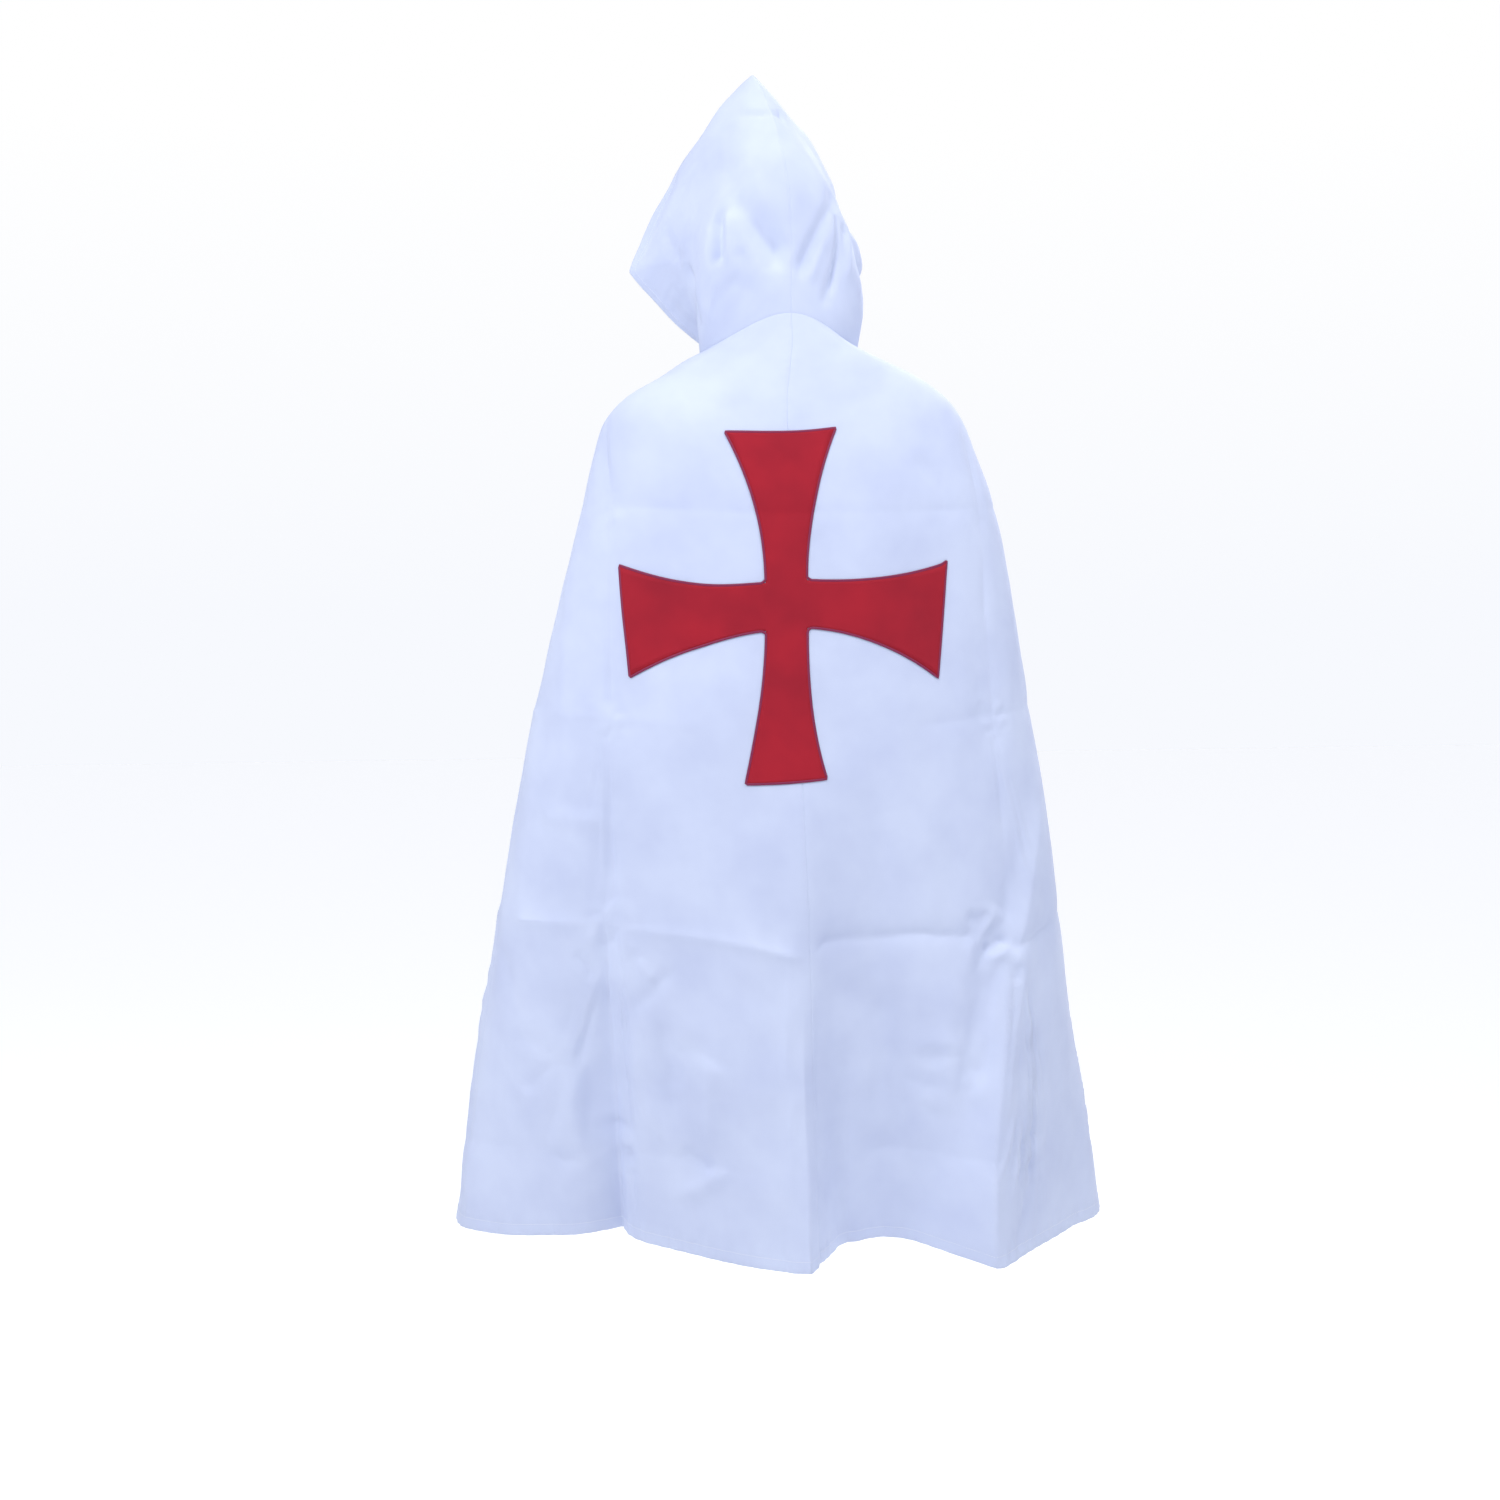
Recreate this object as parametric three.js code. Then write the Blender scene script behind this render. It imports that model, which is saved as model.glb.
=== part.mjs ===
// Hooded knight's cape of white cotton with a red cross sewn on the back, in the form it has when worn.
// Millimetres, +Z up. The origin is the middle of the neck opening, level with the neck seam at the back.
// The back, with the cross, faces -Y; the front edges and the face opening are on the +Y side.
// Angles go round the body in degrees: 0 at the middle of the back, 90 at the +X side, 180 at the front.
import * as THREE from "three";

// Cloth and sewing
const clothThickness = 2;
const seamGap = 0.3;
const backLength = 1290;

// A table from the names of its columns and its rows.
const table = (columns, rows) => {
  const names = columns.split(" ");
  return rows.map((row) => Object.fromEntries(names.map((name, i) => [name, row[i]])));
};

// Rings of the cape from the neck to the hem. fall is the share of the length; side, back and front are how
// far the cloth stands from the middle; backUp, sideUp and frontUp are its heights; square is 2 for an
// ellipse, more if boxier; shift is how far the ring stands to the right and seam how far the centre back
// seam lies right of its middle.
const rings = table("fall side back front backUp sideUp frontUp square shift seam", [
  [0.0, 112, 85, 80, 0, -48, -95, 2.0, 0, 0],
  [0.031, 150, 97, 85, -38, -62, -131, 2.1, 12, -13],
  [0.067, 190, 112, 93, -81, -84, -172, 2.2, 20, -28],
  [0.103, 231, 128, 103, -125, -112, -213, 2.3, 15, -30],
  [0.136, 257, 141, 112, -165, -145, -251, 2.35, 11, -28],
  [0.169, 272, 152, 120, -206, -186, -289, 2.35, 12, -29],
  [0.231, 295, 166, 131, -286, -264, -360, 2.3, 17, -33],
  [0.365, 331, 186, 150, -458, -434, -517, 2.25, 14, -31],
  [0.634, 389.5, 234, 193, -801, -777, -830, 2.15, 5.5, -14],
  [1.0, 450, 290, 250, -1262, -1257, -1257, 2.1, 6.5, -11],
]);
const neck = rings[0];

// Folds that hang from the shoulders and deepen to the hem. at is the angle of the fold's line at the hem;
// before and after are its half widths in degrees; out is how far it stands out there, negative for a hollow;
// raise is how far the hem is drawn up; pointed is 0 for a round fold and 1 for a creased one; from is the fall
// where it begins, and sweep how many degrees further round it lies there.
const folds = table("at before after out raise pointed from sweep", [
  [-5, 9, 5, 24, 0, 1, 0.5, 0],
  [12, 23, 20, -84, 13, 0, 0.5, 0],
  [28, 16, 10, -56, 14, 0, 0.5, 0],
  [35.5, 6, 38, 54, -9, 1, 0.48, 44],
  [78, 14, 12, 4, -5, 0, 0.5, 0],
  [-62, 28, 62, -80, 19, 0, 0.45, 0],
  [-62, 7, 12, -42, 6, 1, 0.5, 0],
  [-84, 8, 8, 0, 4, 0, 0.5, 0],
  [-101, 14, 14, 14, 0, 0, 0.4, 0],
  [112, 15, 14, -58, 4, 0, 0.3, 0],
  [136, 14, 13, 20, 0, 0, 0.35, 0],
  [158, 12, 12, -34, 0, 0, 0.35, 0],
  [-122, 12, 14, -52, 4, 0, 0.32, 0],
  [-140, 11, 12, 20, 0, 0, 0.35, 0],
  [-160, 11, 11, -34, 0, 0, 0.3, 0],
]);
const foldEase = 1.25;

// The front edges: past is how far an edge reaches beyond the middle of the front, negative where they part.
const frontEdge = table("fall past", [
  [0.0, 15],
  [0.07, 12],
  [0.13, -3],
  [0.25, -12],
  [0.5, -24],
  [1.0, -48],
]);
// The left front lies over the right one at the throat and is lifted clear of it there.
const lapClearance = 0.7;
const lap = { lift: clothThickness + lapClearance, fadeAngle: [158, 168], fadeFall: [0.14, 0.3] };

// The hood as ribs that fan out from the throat, from the neck seam at along 0 to the front edge at along 1.
// Each rib runs from the seam over the head (seamForward, seamUp) by its widest place (out, forward, up) down
// to the throat. roundTop and roundLow are how full it curves above and below that place, 0 for straight and
// 1 for a quarter of an ellipse.
const ribs = table("along seamForward seamUp out forward up roundTop roundLow", [
  [0.0, -85, 0, 112, 0, -48, 1.0, 1.0],
  [0.2, -79, 88, 120, -8, 22, 1.0, 0.9],
  [0.4, -72, 186, 118, 8, 62, 0.9, 0.8],
  [0.6, -34, 282, 121, 46, 84, 0.65, 0.7],
  [0.8, 48, 359, 140, 100, 94, 0.42, 0.55],
  [1.0, 150, 300, 174, 165, 88, 0.55, 0.3],
]);
const throat = { rise: 20, forward: 3 };
// The head is turned (degrees) above the neck, and the peak leans to the right by lean at its full height.
const pose = { turn: 3, turnedFrom: 130, lean: -27, peakHeight: 400 };

// Drape lines of the hood between two points, given as across, forward and up: soft troughs, or bulges where
// the depth is negative.
const hoodTroughs = [
  { a: [104, 30, 160], b: [92, -6, 155], half: 9, depth: 4 },
  { a: [73, -48, 172], b: [10, -80, 60], half: 13, depth: 6 },
  { a: [82, -46, 122], b: [50, -76, 20], half: 9, depth: 6 },
  { a: [-90, -38, 142], b: [-95, -50, 82], half: 10, depth: 6 },
  { a: [-70, -20, 209], b: [-18, -79, 80], half: 22, depth: 7 },
  { a: [-120, 42, 72], b: [-112, -14, -14], half: 12, depth: 5 },
  { a: [122, 50, 118], b: [124, 45, 94], half: 32, depth: -19 },
  { a: [74, 60, 266], b: [100, 60, 208], half: 32, depth: -13 },
  { a: [-62, 150, 270], b: [-90, 152, 240], half: 30, depth: -4 },
  { a: [-118, 158, 212], b: [-152, 162, 135], half: 36, depth: 12 },
];

// The cross, as sizes on the flat cloth. Each arm widens as a parabola from the waist to its end.
const cross = {
  centreDrop: 418,
  thickness: 1,
  clearance: 0.5,
  waistAcross: 28,
  waistUp: 32,
  armLength: 236,
  leftLength: 231,
  rightLength: 219,
  endTop: 77,
  endBottom: 55,
  endLeft: 76,
  endRight: 80,
  topLean: 10,
  bottomLean: 21,
  droopRadius: 750,
  stepsUp: 7,
  stepsSide: 11,
  stepsAcross: 6,
};

const button = { radius: 11, thickness: 3, holeRadius: 1.1, holeOffset: 2.8, drop: 24 };

// Fineness of the walls: angles of the columns of the back panels, closer beside the creased folds, then the
// number of columns of a front panel and of the hood, and the falls of the rows.
const backColumns = {
  left: [0, 2.9, 5.5, 8, 12, 16, 20, 25, 30, 35, 40, 45, 50, 55.5, 61.3, 64, 67, 70, 75, 80, 85, 87.5, 90],
  right: [0, 3, 6, 9, 12, 16, 20, 24, 28, 31, 34, 36.8, 40, 43.5, 47, 51, 55, 60, 65, 71, 77, 83, 90],
};
const frontColumns = 14;
const hoodSideColumns = 13;
const hoodFrontColumns = 10;
const hoodEndAngle = 156;
const hoodRows = 16;
const bodyFalls = [0, 0.016, 0.034, 0.056, 0.08, 0.103, 0.13, 0.158, 0.19, 0.231]
  .concat([0.3, 0.38, 0.47, 0.56, 0.65, 0.74, 0.83, 0.92, 1]);

const whiteCotton = { color: 0xe6ebf9, roughness: 0.92, metalness: 0 };
const redCotton = { color: 0xb02439, roughness: 0.9, metalness: 0 };
const buttonPlastic = { color: 0xe9e6dc, roughness: 0.4, metalness: 0 };

const radians = THREE.MathUtils.degToRad;
const clamp = THREE.MathUtils.clamp;
const smooth = (x, low, high) => THREE.MathUtils.smoothstep(x, low, high);

// Small differences for directions: degrees and fall on the cape, share of a rib or of the hood on the hood.
const fineStep = { angle: 0.5, fall: 0.002, hood: 0.01 };

// A table's column as a smooth curve over its key column, by cubic pieces with the slopes of its neighbours.
function tableValue(table, key, column, x) {
  const last = table.length - 1;
  let i = 0;
  while (i < last - 1 && x > table[i + 1][key]) i++;
  const slope = (k) => {
    const low = table[Math.max(k - 1, 0)];
    const high = table[Math.min(k + 1, last)];
    return (high[column] - low[column]) / (high[key] - low[key]);
  };
  const width = table[i + 1][key] - table[i][key];
  const s = clamp((x - table[i][key]) / width, 0, 1);
  const s2 = s * s;
  const s3 = s2 * s;
  return (
    (2 * s3 - 3 * s2 + 1) * table[i][column] +
    (s3 - 2 * s2 + s) * width * slope(i) +
    (3 * s2 - 2 * s3) * table[i + 1][column] +
    (s3 - s2) * width * slope(i + 1)
  );
}
const ring = (column, fall) => tableValue(rings, "fall", column, fall);
const rib = (column, along) => tableValue(ribs, "along", column, along);

// How far the folds move the cloth out, or raise it, at an angle and a fall.
function foldSum(column, angle, fall) {
  const turned = ((angle + 540) % 360) - 180;
  let sum = 0;
  for (const fold of folds) {
    const away = turned - fold.at - fold.sweep * clamp((1 - fall) / (1 - fold.from), 0, 1);
    const share = away < 0 ? -away / fold.before : away / fold.after;
    if (share >= 1 || fall <= fold.from) continue;
    const growth = ((fall - fold.from) / (1 - fold.from)) ** foldEase;
    const round = Math.cos((share * Math.PI) / 2) ** 2;
    const creased = (1 - share) ** 2;
    sum += fold[column] * growth * (round + (creased - round) * fold.pointed);
  }
  return sum;
}

// The middle of the cape's wall. lapped is true for the left front, which lies over the right at the throat.
function bodyPoint(angle, fall, lapped = false) {
  const sine = Math.sin(radians(angle));
  const cosine = Math.cos(radians(angle));
  const behind = cosine > 0;
  const depth = ring(behind ? "back" : "front", fall);
  const n = ring("square", fall);
  let out =
    ((Math.abs(sine) / ring("side", fall)) ** n + (Math.abs(cosine) / depth) ** n) ** (-1 / n) +
    foldSum("out", angle, fall);
  if (lapped) {
    const near = smooth(Math.abs(angle), ...lap.fadeAngle);
    out += lap.lift * near * (1 - smooth(fall, ...lap.fadeFall));
  }
  const sideUp = ring("sideUp", fall);
  const up = sideUp + (ring(behind ? "backUp" : "frontUp", fall) - sideUp) * cosine * cosine;
  return new THREE.Vector3(
    out * sine + ring("shift", fall),
    -out * cosine,
    up + foldSum("raise", angle, fall),
  );
}

// Unit normal of a surface function at two parameters, by differences; outward says which way it points.
function normalOf(surface, a, b, stepA, stepB, outward) {
  const alongA = surface(a + stepA, b).sub(surface(a - stepA, b));
  const alongB = surface(a, b + stepB).sub(surface(a, b - stepB));
  const normal = alongA.cross(alongB).normalize();
  return normal.dot(outward) < 0 ? normal.negate() : normal;
}
function bodyNormal(angle, fall, lapped = false) {
  const surface = (a, f) => bodyPoint(a, f, lapped);
  const away = new THREE.Vector3(Math.sin(radians(angle)), -Math.cos(radians(angle)), 0);
  const inside = clamp(fall, fineStep.fall, 1 - fineStep.fall);
  return normalOf(surface, angle, inside, fineStep.angle, fineStep.fall, away);
}

// Angle of the centre back seam, and of a column of a back panel between that seam and the side.
const seamAngle = (fall) => THREE.MathUtils.radToDeg(Math.atan2(ring("seam", fall), ring("back", fall)));
function backAngle(column, side, fall) {
  const start = side * seamAngle(fall);
  const columns = side > 0 ? backColumns.right : backColumns.left;
  return start + ((90 - start) * columns[column]) / 90;
}

// Angle of a place on the front panel, 0 at the side and 1 on the front edge, which changes with the fall.
function frontAngle(part, fall) {
  const past = tableValue(frontEdge, "fall", "past", fall);
  const end = 180 + THREE.MathUtils.radToDeg(Math.atan2(past, ring("front", fall)));
  return 90 + (end - 90) * part;
}

// One rib of the hood on the +X side at across 0 (seam over the head) to 1 (throat), before the drape lines.
// handle is the length of a curve's handles that makes a quarter of an ellipse.
const handle = 0.5523;
function ribPoint(across, along) {
  const seam = new THREE.Vector3(0, rib("seamForward", along), rib("seamUp", along));
  const wide = new THREE.Vector3(rib("out", along), rib("forward", along), rib("up", along));
  const neckEnd = bodyPoint(hoodEndAngle, 0);
  const low = neckEnd.clone().add(new THREE.Vector3(0, throat.forward, throat.rise).multiplyScalar(along));
  const upper = across <= 0.5;
  const start = upper ? seam : wide;
  const end = upper ? wide : low;
  const round = rib(upper ? "roundTop" : "roundLow", along);
  const third = end.clone().sub(start).divideScalar(3);
  const towardWide = new THREE.Vector3(wide.x * handle, 0, 0);
  const leaving = upper
    ? towardWide
    : new THREE.Vector3(0, (low.y - wide.y) * handle, (low.z - wide.z) * handle * along);
  const arriving = upper
    ? new THREE.Vector3(0, (seam.y - wide.y) * handle, (seam.z - wide.z) * handle)
    : new THREE.Vector3((wide.x - low.x) * handle, 0, 0);
  const first = start.clone().add(leaving.lerp(third, 1 - round));
  const second = end.clone().add(arriving.lerp(third.clone().negate(), 1 - round));
  const s = upper ? across * 2 : across * 2 - 1;
  const r = 1 - s;
  return start
    .clone()
    .multiplyScalar(r * r * r)
    .addScaledVector(first, 3 * r * r * s)
    .addScaledVector(second, 3 * r * s * s)
    .addScaledVector(end, s * s * s);
}

// Angle on the neck ring for a place along a rib, whose widest place is at the side, and the other way round.
function neckAngleAt(across) {
  return across <= 0.5 ? 180 * across : 90 + (hoodEndAngle - 90) * (2 * across - 1);
}
function neckAcross(angle) {
  return angle <= 90 ? angle / 180 : Math.min(0.5 + (angle - 90) / (hoodEndAngle - 90) / 2, 1);
}

// The middle of the hood's wall on one side (1 or -1), its neck edge exactly on the neck ring. The fades are
// the shares over which the neck's form goes out, and the drape lines come in beside the neck and the seam.
const neckFade = 0.3;
const troughFade = { neck: 0.15, seam: 0.06 };
function hoodPoint(side, across, along) {
  const point = ribPoint(across, along);
  const drift = bodyPoint(neckAngleAt(across), 0).sub(ribPoint(across, 0));
  point.addScaledVector(drift, 1 - smooth(along, 0, neckFade));
  point.x *= side;
  return point;
}
const hoodMiddle = new THREE.Vector3(0, 60, 60);
function hoodNormal(side, across, along) {
  const surface = (a, b) => hoodPoint(side, a, b);
  const step = fineStep.hood;
  const a = clamp(across, step, 1 - 1.5 * step);
  const b = clamp(along, step, 1 - step);
  return normalOf(surface, a, b, step, step, surface(a, b).sub(hoodMiddle));
}

// How far the drape lines press the hood in near a point.
function troughDepth(point) {
  let depth = 0;
  for (const trough of hoodTroughs) {
    const line = new THREE.Line3(new THREE.Vector3(...trough.a), new THREE.Vector3(...trough.b));
    const away = line.closestPointToPoint(point, true, new THREE.Vector3()).distanceTo(point);
    depth += trough.depth * Math.exp(-((away / trough.half) ** 2));
  }
  return depth;
}

// The head is turned a little to the left and the peak leans that way; the neck edge stays where it is.
function poseHood(point) {
  const neckUp = neck.sideUp * (1 + point.y / neck.back);
  const height = point.z - neckUp;
  const angle = radians(pose.turn) * smooth(height, 0, pose.turnedFrom);
  const lean = pose.lean * clamp(height / pose.peakHeight, 0, 1) ** 2;
  return new THREE.Vector3(
    point.x * Math.cos(angle) - point.y * Math.sin(angle) + lean,
    point.x * Math.sin(angle) + point.y * Math.cos(angle),
    point.z,
  );
}

// A closed wall from a grid of pairs of points, one outside and one inside.
function wallGeometry(grid) {
  const rows = grid.length;
  const columns = grid[0].length;
  const positions = [];
  for (const face of ["outside", "inside"]) {
    for (const row of grid) for (const pair of row) positions.push(...pair[face]);
  }
  const outer = (r, c) => r * columns + c;
  const inner = (r, c) => rows * columns + outer(r, c);
  const index = [];
  const quad = (a, b, c, d) => index.push(a, b, c, a, c, d);
  for (let r = 0; r < rows - 1; r++) {
    for (let c = 0; c < columns - 1; c++) {
      quad(outer(r, c), outer(r, c + 1), outer(r + 1, c + 1), outer(r + 1, c));
      quad(inner(r, c), inner(r + 1, c), inner(r + 1, c + 1), inner(r, c + 1));
    }
    quad(outer(r, 0), outer(r + 1, 0), inner(r + 1, 0), inner(r, 0));
    const end = columns - 1;
    quad(outer(r + 1, end), outer(r, end), inner(r, end), inner(r + 1, end));
  }
  for (let c = 0; c < columns - 1; c++) {
    quad(outer(0, c + 1), outer(0, c), inner(0, c), inner(0, c + 1));
    const end = rows - 1;
    quad(outer(end, c), outer(end, c + 1), inner(end, c + 1), inner(end, c));
  }
  return solidGeometry(positions, index);
}

// A geometry from positions and triangles, turned so that its faces point out.
function solidGeometry(positions, index) {
  let volume = 0;
  const corner = (i) => new THREE.Vector3().fromArray(positions, 3 * index[i]);
  for (let i = 0; i < index.length; i += 3) volume += corner(i).dot(corner(i + 1).cross(corner(i + 2)));
  if (volume < 0) index.reverse();
  const geometry = new THREE.BufferGeometry();
  geometry.setAttribute("position", new THREE.Float32BufferAttribute(positions, 3));
  geometry.setIndex(index);
  geometry.computeVertexNormals();
  return geometry;
}

// Outside and inside points at half the thickness along a direction; the step is longer where the direction
// leans from the surface's own normal, so that the cloth keeps its thickness at a mitred seam.
const mitreLimit = 0.6;
function pairAt(point, direction, normal = direction) {
  const half = clothThickness / 2 / Math.max(direction.dot(normal), mitreLimit);
  return {
    outside: point.clone().addScaledVector(direction, half),
    inside: point.clone().addScaledVector(direction, -half),
  };
}

// Where the hood and the cape meet, both walls end along the middle of their two normals.
function neckMitre(side, angle, across, lapped) {
  return bodyNormal(angle * side, 0, lapped).add(hoodNormal(side, across, 0)).normalize();
}

// One quarter of the cape: the back or the front on one side.
function panelGeometry(side, isFront) {
  const lapped = isFront && side < 0;
  const halfGap = seamGap / 2;
  const lastColumn = isFront ? frontColumns : backColumns.right.length - 1;
  const grid = bodyFalls.map((fall) => {
    const row = [];
    const trim = THREE.MathUtils.radToDeg(halfGap / Math.min(ring("side", fall), ring("back", fall)));
    for (let column = 0; column <= lastColumn; column++) {
      let angle = isFront ? frontAngle(column / frontColumns, fall) : backAngle(column, side, fall);
      if (column === 0) angle += trim;
      if (!isFront && column === lastColumn) angle -= trim;
      const point = bodyPoint(angle * side, fall, lapped);
      const normal = bodyNormal(angle * side, fall, lapped);
      if (fall > 0) {
        row.push(pairAt(point, normal));
        continue;
      }
      const down = bodyPoint(angle * side, fineStep.fall, lapped).sub(point).normalize();
      point.addScaledVector(down, halfGap);
      row.push(pairAt(point, neckMitre(side, angle, neckAcross(angle), lapped), normal));
    }
    return row;
  });
  return wallGeometry(grid);
}

// One half of the hood.
function hoodGeometry(side) {
  const halfGap = seamGap / 2;
  const lastColumn = hoodSideColumns + hoodFrontColumns;
  const grid = [];
  for (let step = 0; step <= hoodRows; step++) {
    const along = step / hoodRows;
    const row = [];
    for (let column = 0; column <= lastColumn; column++) {
      const ahead = column - hoodSideColumns;
      const across = ahead <= 0 ? (0.5 * column) / hoodSideColumns : 0.5 + (0.5 * ahead) / hoodFrontColumns;
      const point = hoodPoint(side, across, along);
      const normal = hoodNormal(side, across, along);
      const direction = normal.clone();
      if (step === 0) {
        const rise = hoodPoint(side, across, fineStep.hood).sub(point).normalize();
        point.addScaledVector(rise, halfGap);
        direction.copy(neckMitre(side, neckAngleAt(across), across, false));
      } else {
        const fade = smooth(along, 0, troughFade.neck) * smooth(across, 0, troughFade.seam);
        point.addScaledVector(normal, -troughDepth(point) * fade);
      }
      if (column === 0) direction.setX(0).normalize();
      const pair = pairAt(point, direction, normal);
      if (column === 0) {
        pair.outside.x = side * halfGap;
        pair.inside.x = side * halfGap;
      }
      row.push({ outside: poseHood(pair.outside), inside: poseHood(pair.inside) });
    }
    grid.push(row);
  }
  return wallGeometry(grid);
}

// The angle at which the cloth, measured along a ring from the centre back seam, has come a distance.
function angleAtDistance(distance, fall) {
  const side = Math.sign(distance);
  const step = 0.5;
  let travelled = 0;
  let angle = seamAngle(fall);
  let last = bodyPoint(angle, fall);
  while (travelled < Math.abs(distance)) {
    angle += step * side;
    const next = bodyPoint(angle, fall);
    const length = next.distanceTo(last);
    if (travelled + length >= Math.abs(distance)) {
      return angle - step * side * (1 - (Math.abs(distance) - travelled) / length);
    }
    travelled += length;
    last = next;
  }
  return angle;
}

// A point of the flat cross (right and up from its centre) laid on the outside of the back.
function crossPair(right, up) {
  const drop = cross.centreDrop - up + (right * right) / (2 * cross.droopRadius);
  const fall = drop / backLength;
  const lean = (up > 0 ? cross.topLean : cross.bottomLean) * smooth(Math.abs(up), 0, cross.armLength);
  const angle = angleAtDistance(right - lean, fall);
  const point = bodyPoint(angle, fall);
  const normal = bodyNormal(angle, fall);
  const base = clothThickness / 2 + cross.clearance;
  return {
    outside: point.clone().addScaledVector(normal, base + cross.thickness),
    inside: point.clone().addScaledVector(normal, base),
  };
}

// The cross as one grid of strips: the middle block and four arms share their edge points.
function crossGeometry() {
  const { waistAcross, waistUp, stepsUp, stepsSide, stepsAcross } = cross;
  const points = new Map();
  const positions = [];
  const pairs = [];
  const cornerOf = (right, up) => {
    const key = `${right.toFixed(3)},${up.toFixed(3)}`;
    if (!points.has(key)) {
      points.set(key, pairs.length);
      pairs.push(crossPair(right, up));
    }
    return points.get(key);
  };
  const faces = [];
  const strip = (stepsLong, place) => {
    for (let i = 0; i < stepsLong; i++) {
      for (let j = 0; j < stepsAcross; j++) {
        const corners = [place(i, j), place(i + 1, j), place(i + 1, j + 1), place(i, j + 1)];
        faces.push(corners.map(([right, up]) => cornerOf(right, up)));
      }
    }
  };
  const share = (j) => (2 * j) / stepsAcross - 1;
  strip(stepsAcross, (i, j) => [waistAcross * share(i), waistUp * share(j)]);
  const upright = { steps: stepsUp, length: cross.armLength, start: waistUp, waist: waistAcross };
  const level = { steps: stepsSide, start: waistAcross, waist: waistUp };
  const arms = [
    { ...upright, end: cross.endTop, turn: (x, y) => [y, x] },
    { ...upright, end: cross.endBottom, turn: (x, y) => [y, -x] },
    { ...level, length: cross.rightLength, end: cross.endRight, turn: (x, y) => [x, y] },
    { ...level, length: cross.leftLength, end: cross.endLeft, turn: (x, y) => [-x, y] },
  ];
  for (const arm of arms) {
    strip(arm.steps, (i, j) => {
      const part = i / arm.steps;
      const halfWidth = arm.waist + (arm.end - arm.waist) * part * part;
      return arm.turn(arm.start + (arm.length - arm.start) * part, halfWidth * share(j));
    });
  }
  for (const face of ["outside", "inside"]) for (const pair of pairs) positions.push(...pair[face]);
  const index = [];
  const inward = pairs.length;
  const edges = new Map();
  const turned = (corners) => {
    const [a, b, , d] = corners.map((i) => pairs[i].outside);
    const facing = b.clone().sub(a).cross(d.clone().sub(a));
    return facing.y > 0 ? corners : [...corners].reverse();
  };
  for (const corners of faces.map(turned)) {
    const [a, b, c, d] = corners;
    index.push(a, b, c, a, c, d);
    index.push(a + inward, c + inward, b + inward, a + inward, d + inward, c + inward);
    corners.forEach((from, k) => {
      const to = corners[(k + 1) % 4];
      if (edges.has(`${to},${from}`)) edges.delete(`${to},${from}`);
      else edges.set(`${from},${to}`, [from, to]);
    });
  }
  for (const [from, to] of edges.values()) {
    index.push(to, from, from + inward, to, from + inward, to + inward);
  }
  return solidGeometry(positions, index);
}

// A flat button with four holes, its back on z = 0.
function buttonGeometry() {
  const disc = new THREE.Shape().absarc(0, 0, button.radius, 0, Math.PI * 2);
  for (const [right, up] of [[1, 1], [-1, 1], [-1, -1], [1, -1]]) {
    const hole = new THREE.Path();
    hole.absarc(right * button.holeOffset, up * button.holeOffset, button.holeRadius, 0, Math.PI * 2, true);
    disc.holes.push(hole);
  }
  return new THREE.ExtrudeGeometry(disc, { depth: button.thickness, bevelEnabled: false, curveSegments: 7 });
}

function addPiece(group, name, geometry, finish) {
  const mesh = new THREE.Mesh(geometry, new THREE.MeshStandardMaterial({ ...finish, name }));
  mesh.name = name;
  group.add(mesh);
  return mesh;
}

const cape = new THREE.Group();
for (const [word, side] of [["left", -1], ["right", 1]]) {
  addPiece(cape, `back_${word}`, panelGeometry(side, false), whiteCotton);
  addPiece(cape, `front_${word}`, panelGeometry(side, true), whiteCotton);
  addPiece(cape, `hood_${word}`, hoodGeometry(side), whiteCotton);
}
addPiece(cape, "cross", crossGeometry(), redCotton);

const neckButton = addPiece(cape, "neck_button", buttonGeometry(), buttonPlastic);
const buttonFall = button.drop / backLength;
const buttonFacing = bodyNormal(-180, buttonFall, true);
neckButton.quaternion.setFromUnitVectors(new THREE.Vector3(0, 0, 1), buttonFacing);
neckButton.position.copy(bodyPoint(-180, buttonFall, true));
neckButton.position.addScaledVector(buttonFacing, clothThickness / 2 + seamGap);

export default cape;
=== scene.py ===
import math
import bpy
import numpy as np
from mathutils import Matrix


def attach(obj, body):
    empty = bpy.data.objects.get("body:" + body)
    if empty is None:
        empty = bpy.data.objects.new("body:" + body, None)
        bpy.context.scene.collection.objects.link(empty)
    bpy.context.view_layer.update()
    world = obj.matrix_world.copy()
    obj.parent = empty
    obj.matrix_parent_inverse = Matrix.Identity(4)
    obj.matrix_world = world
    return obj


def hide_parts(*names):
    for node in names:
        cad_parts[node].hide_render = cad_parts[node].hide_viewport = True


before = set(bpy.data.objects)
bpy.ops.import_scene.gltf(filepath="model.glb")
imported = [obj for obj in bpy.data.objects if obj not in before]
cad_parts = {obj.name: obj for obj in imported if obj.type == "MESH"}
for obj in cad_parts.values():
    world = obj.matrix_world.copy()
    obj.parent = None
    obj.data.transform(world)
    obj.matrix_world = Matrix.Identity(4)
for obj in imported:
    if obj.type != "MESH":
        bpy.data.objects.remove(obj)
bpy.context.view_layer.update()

mm = 0.001

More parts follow.
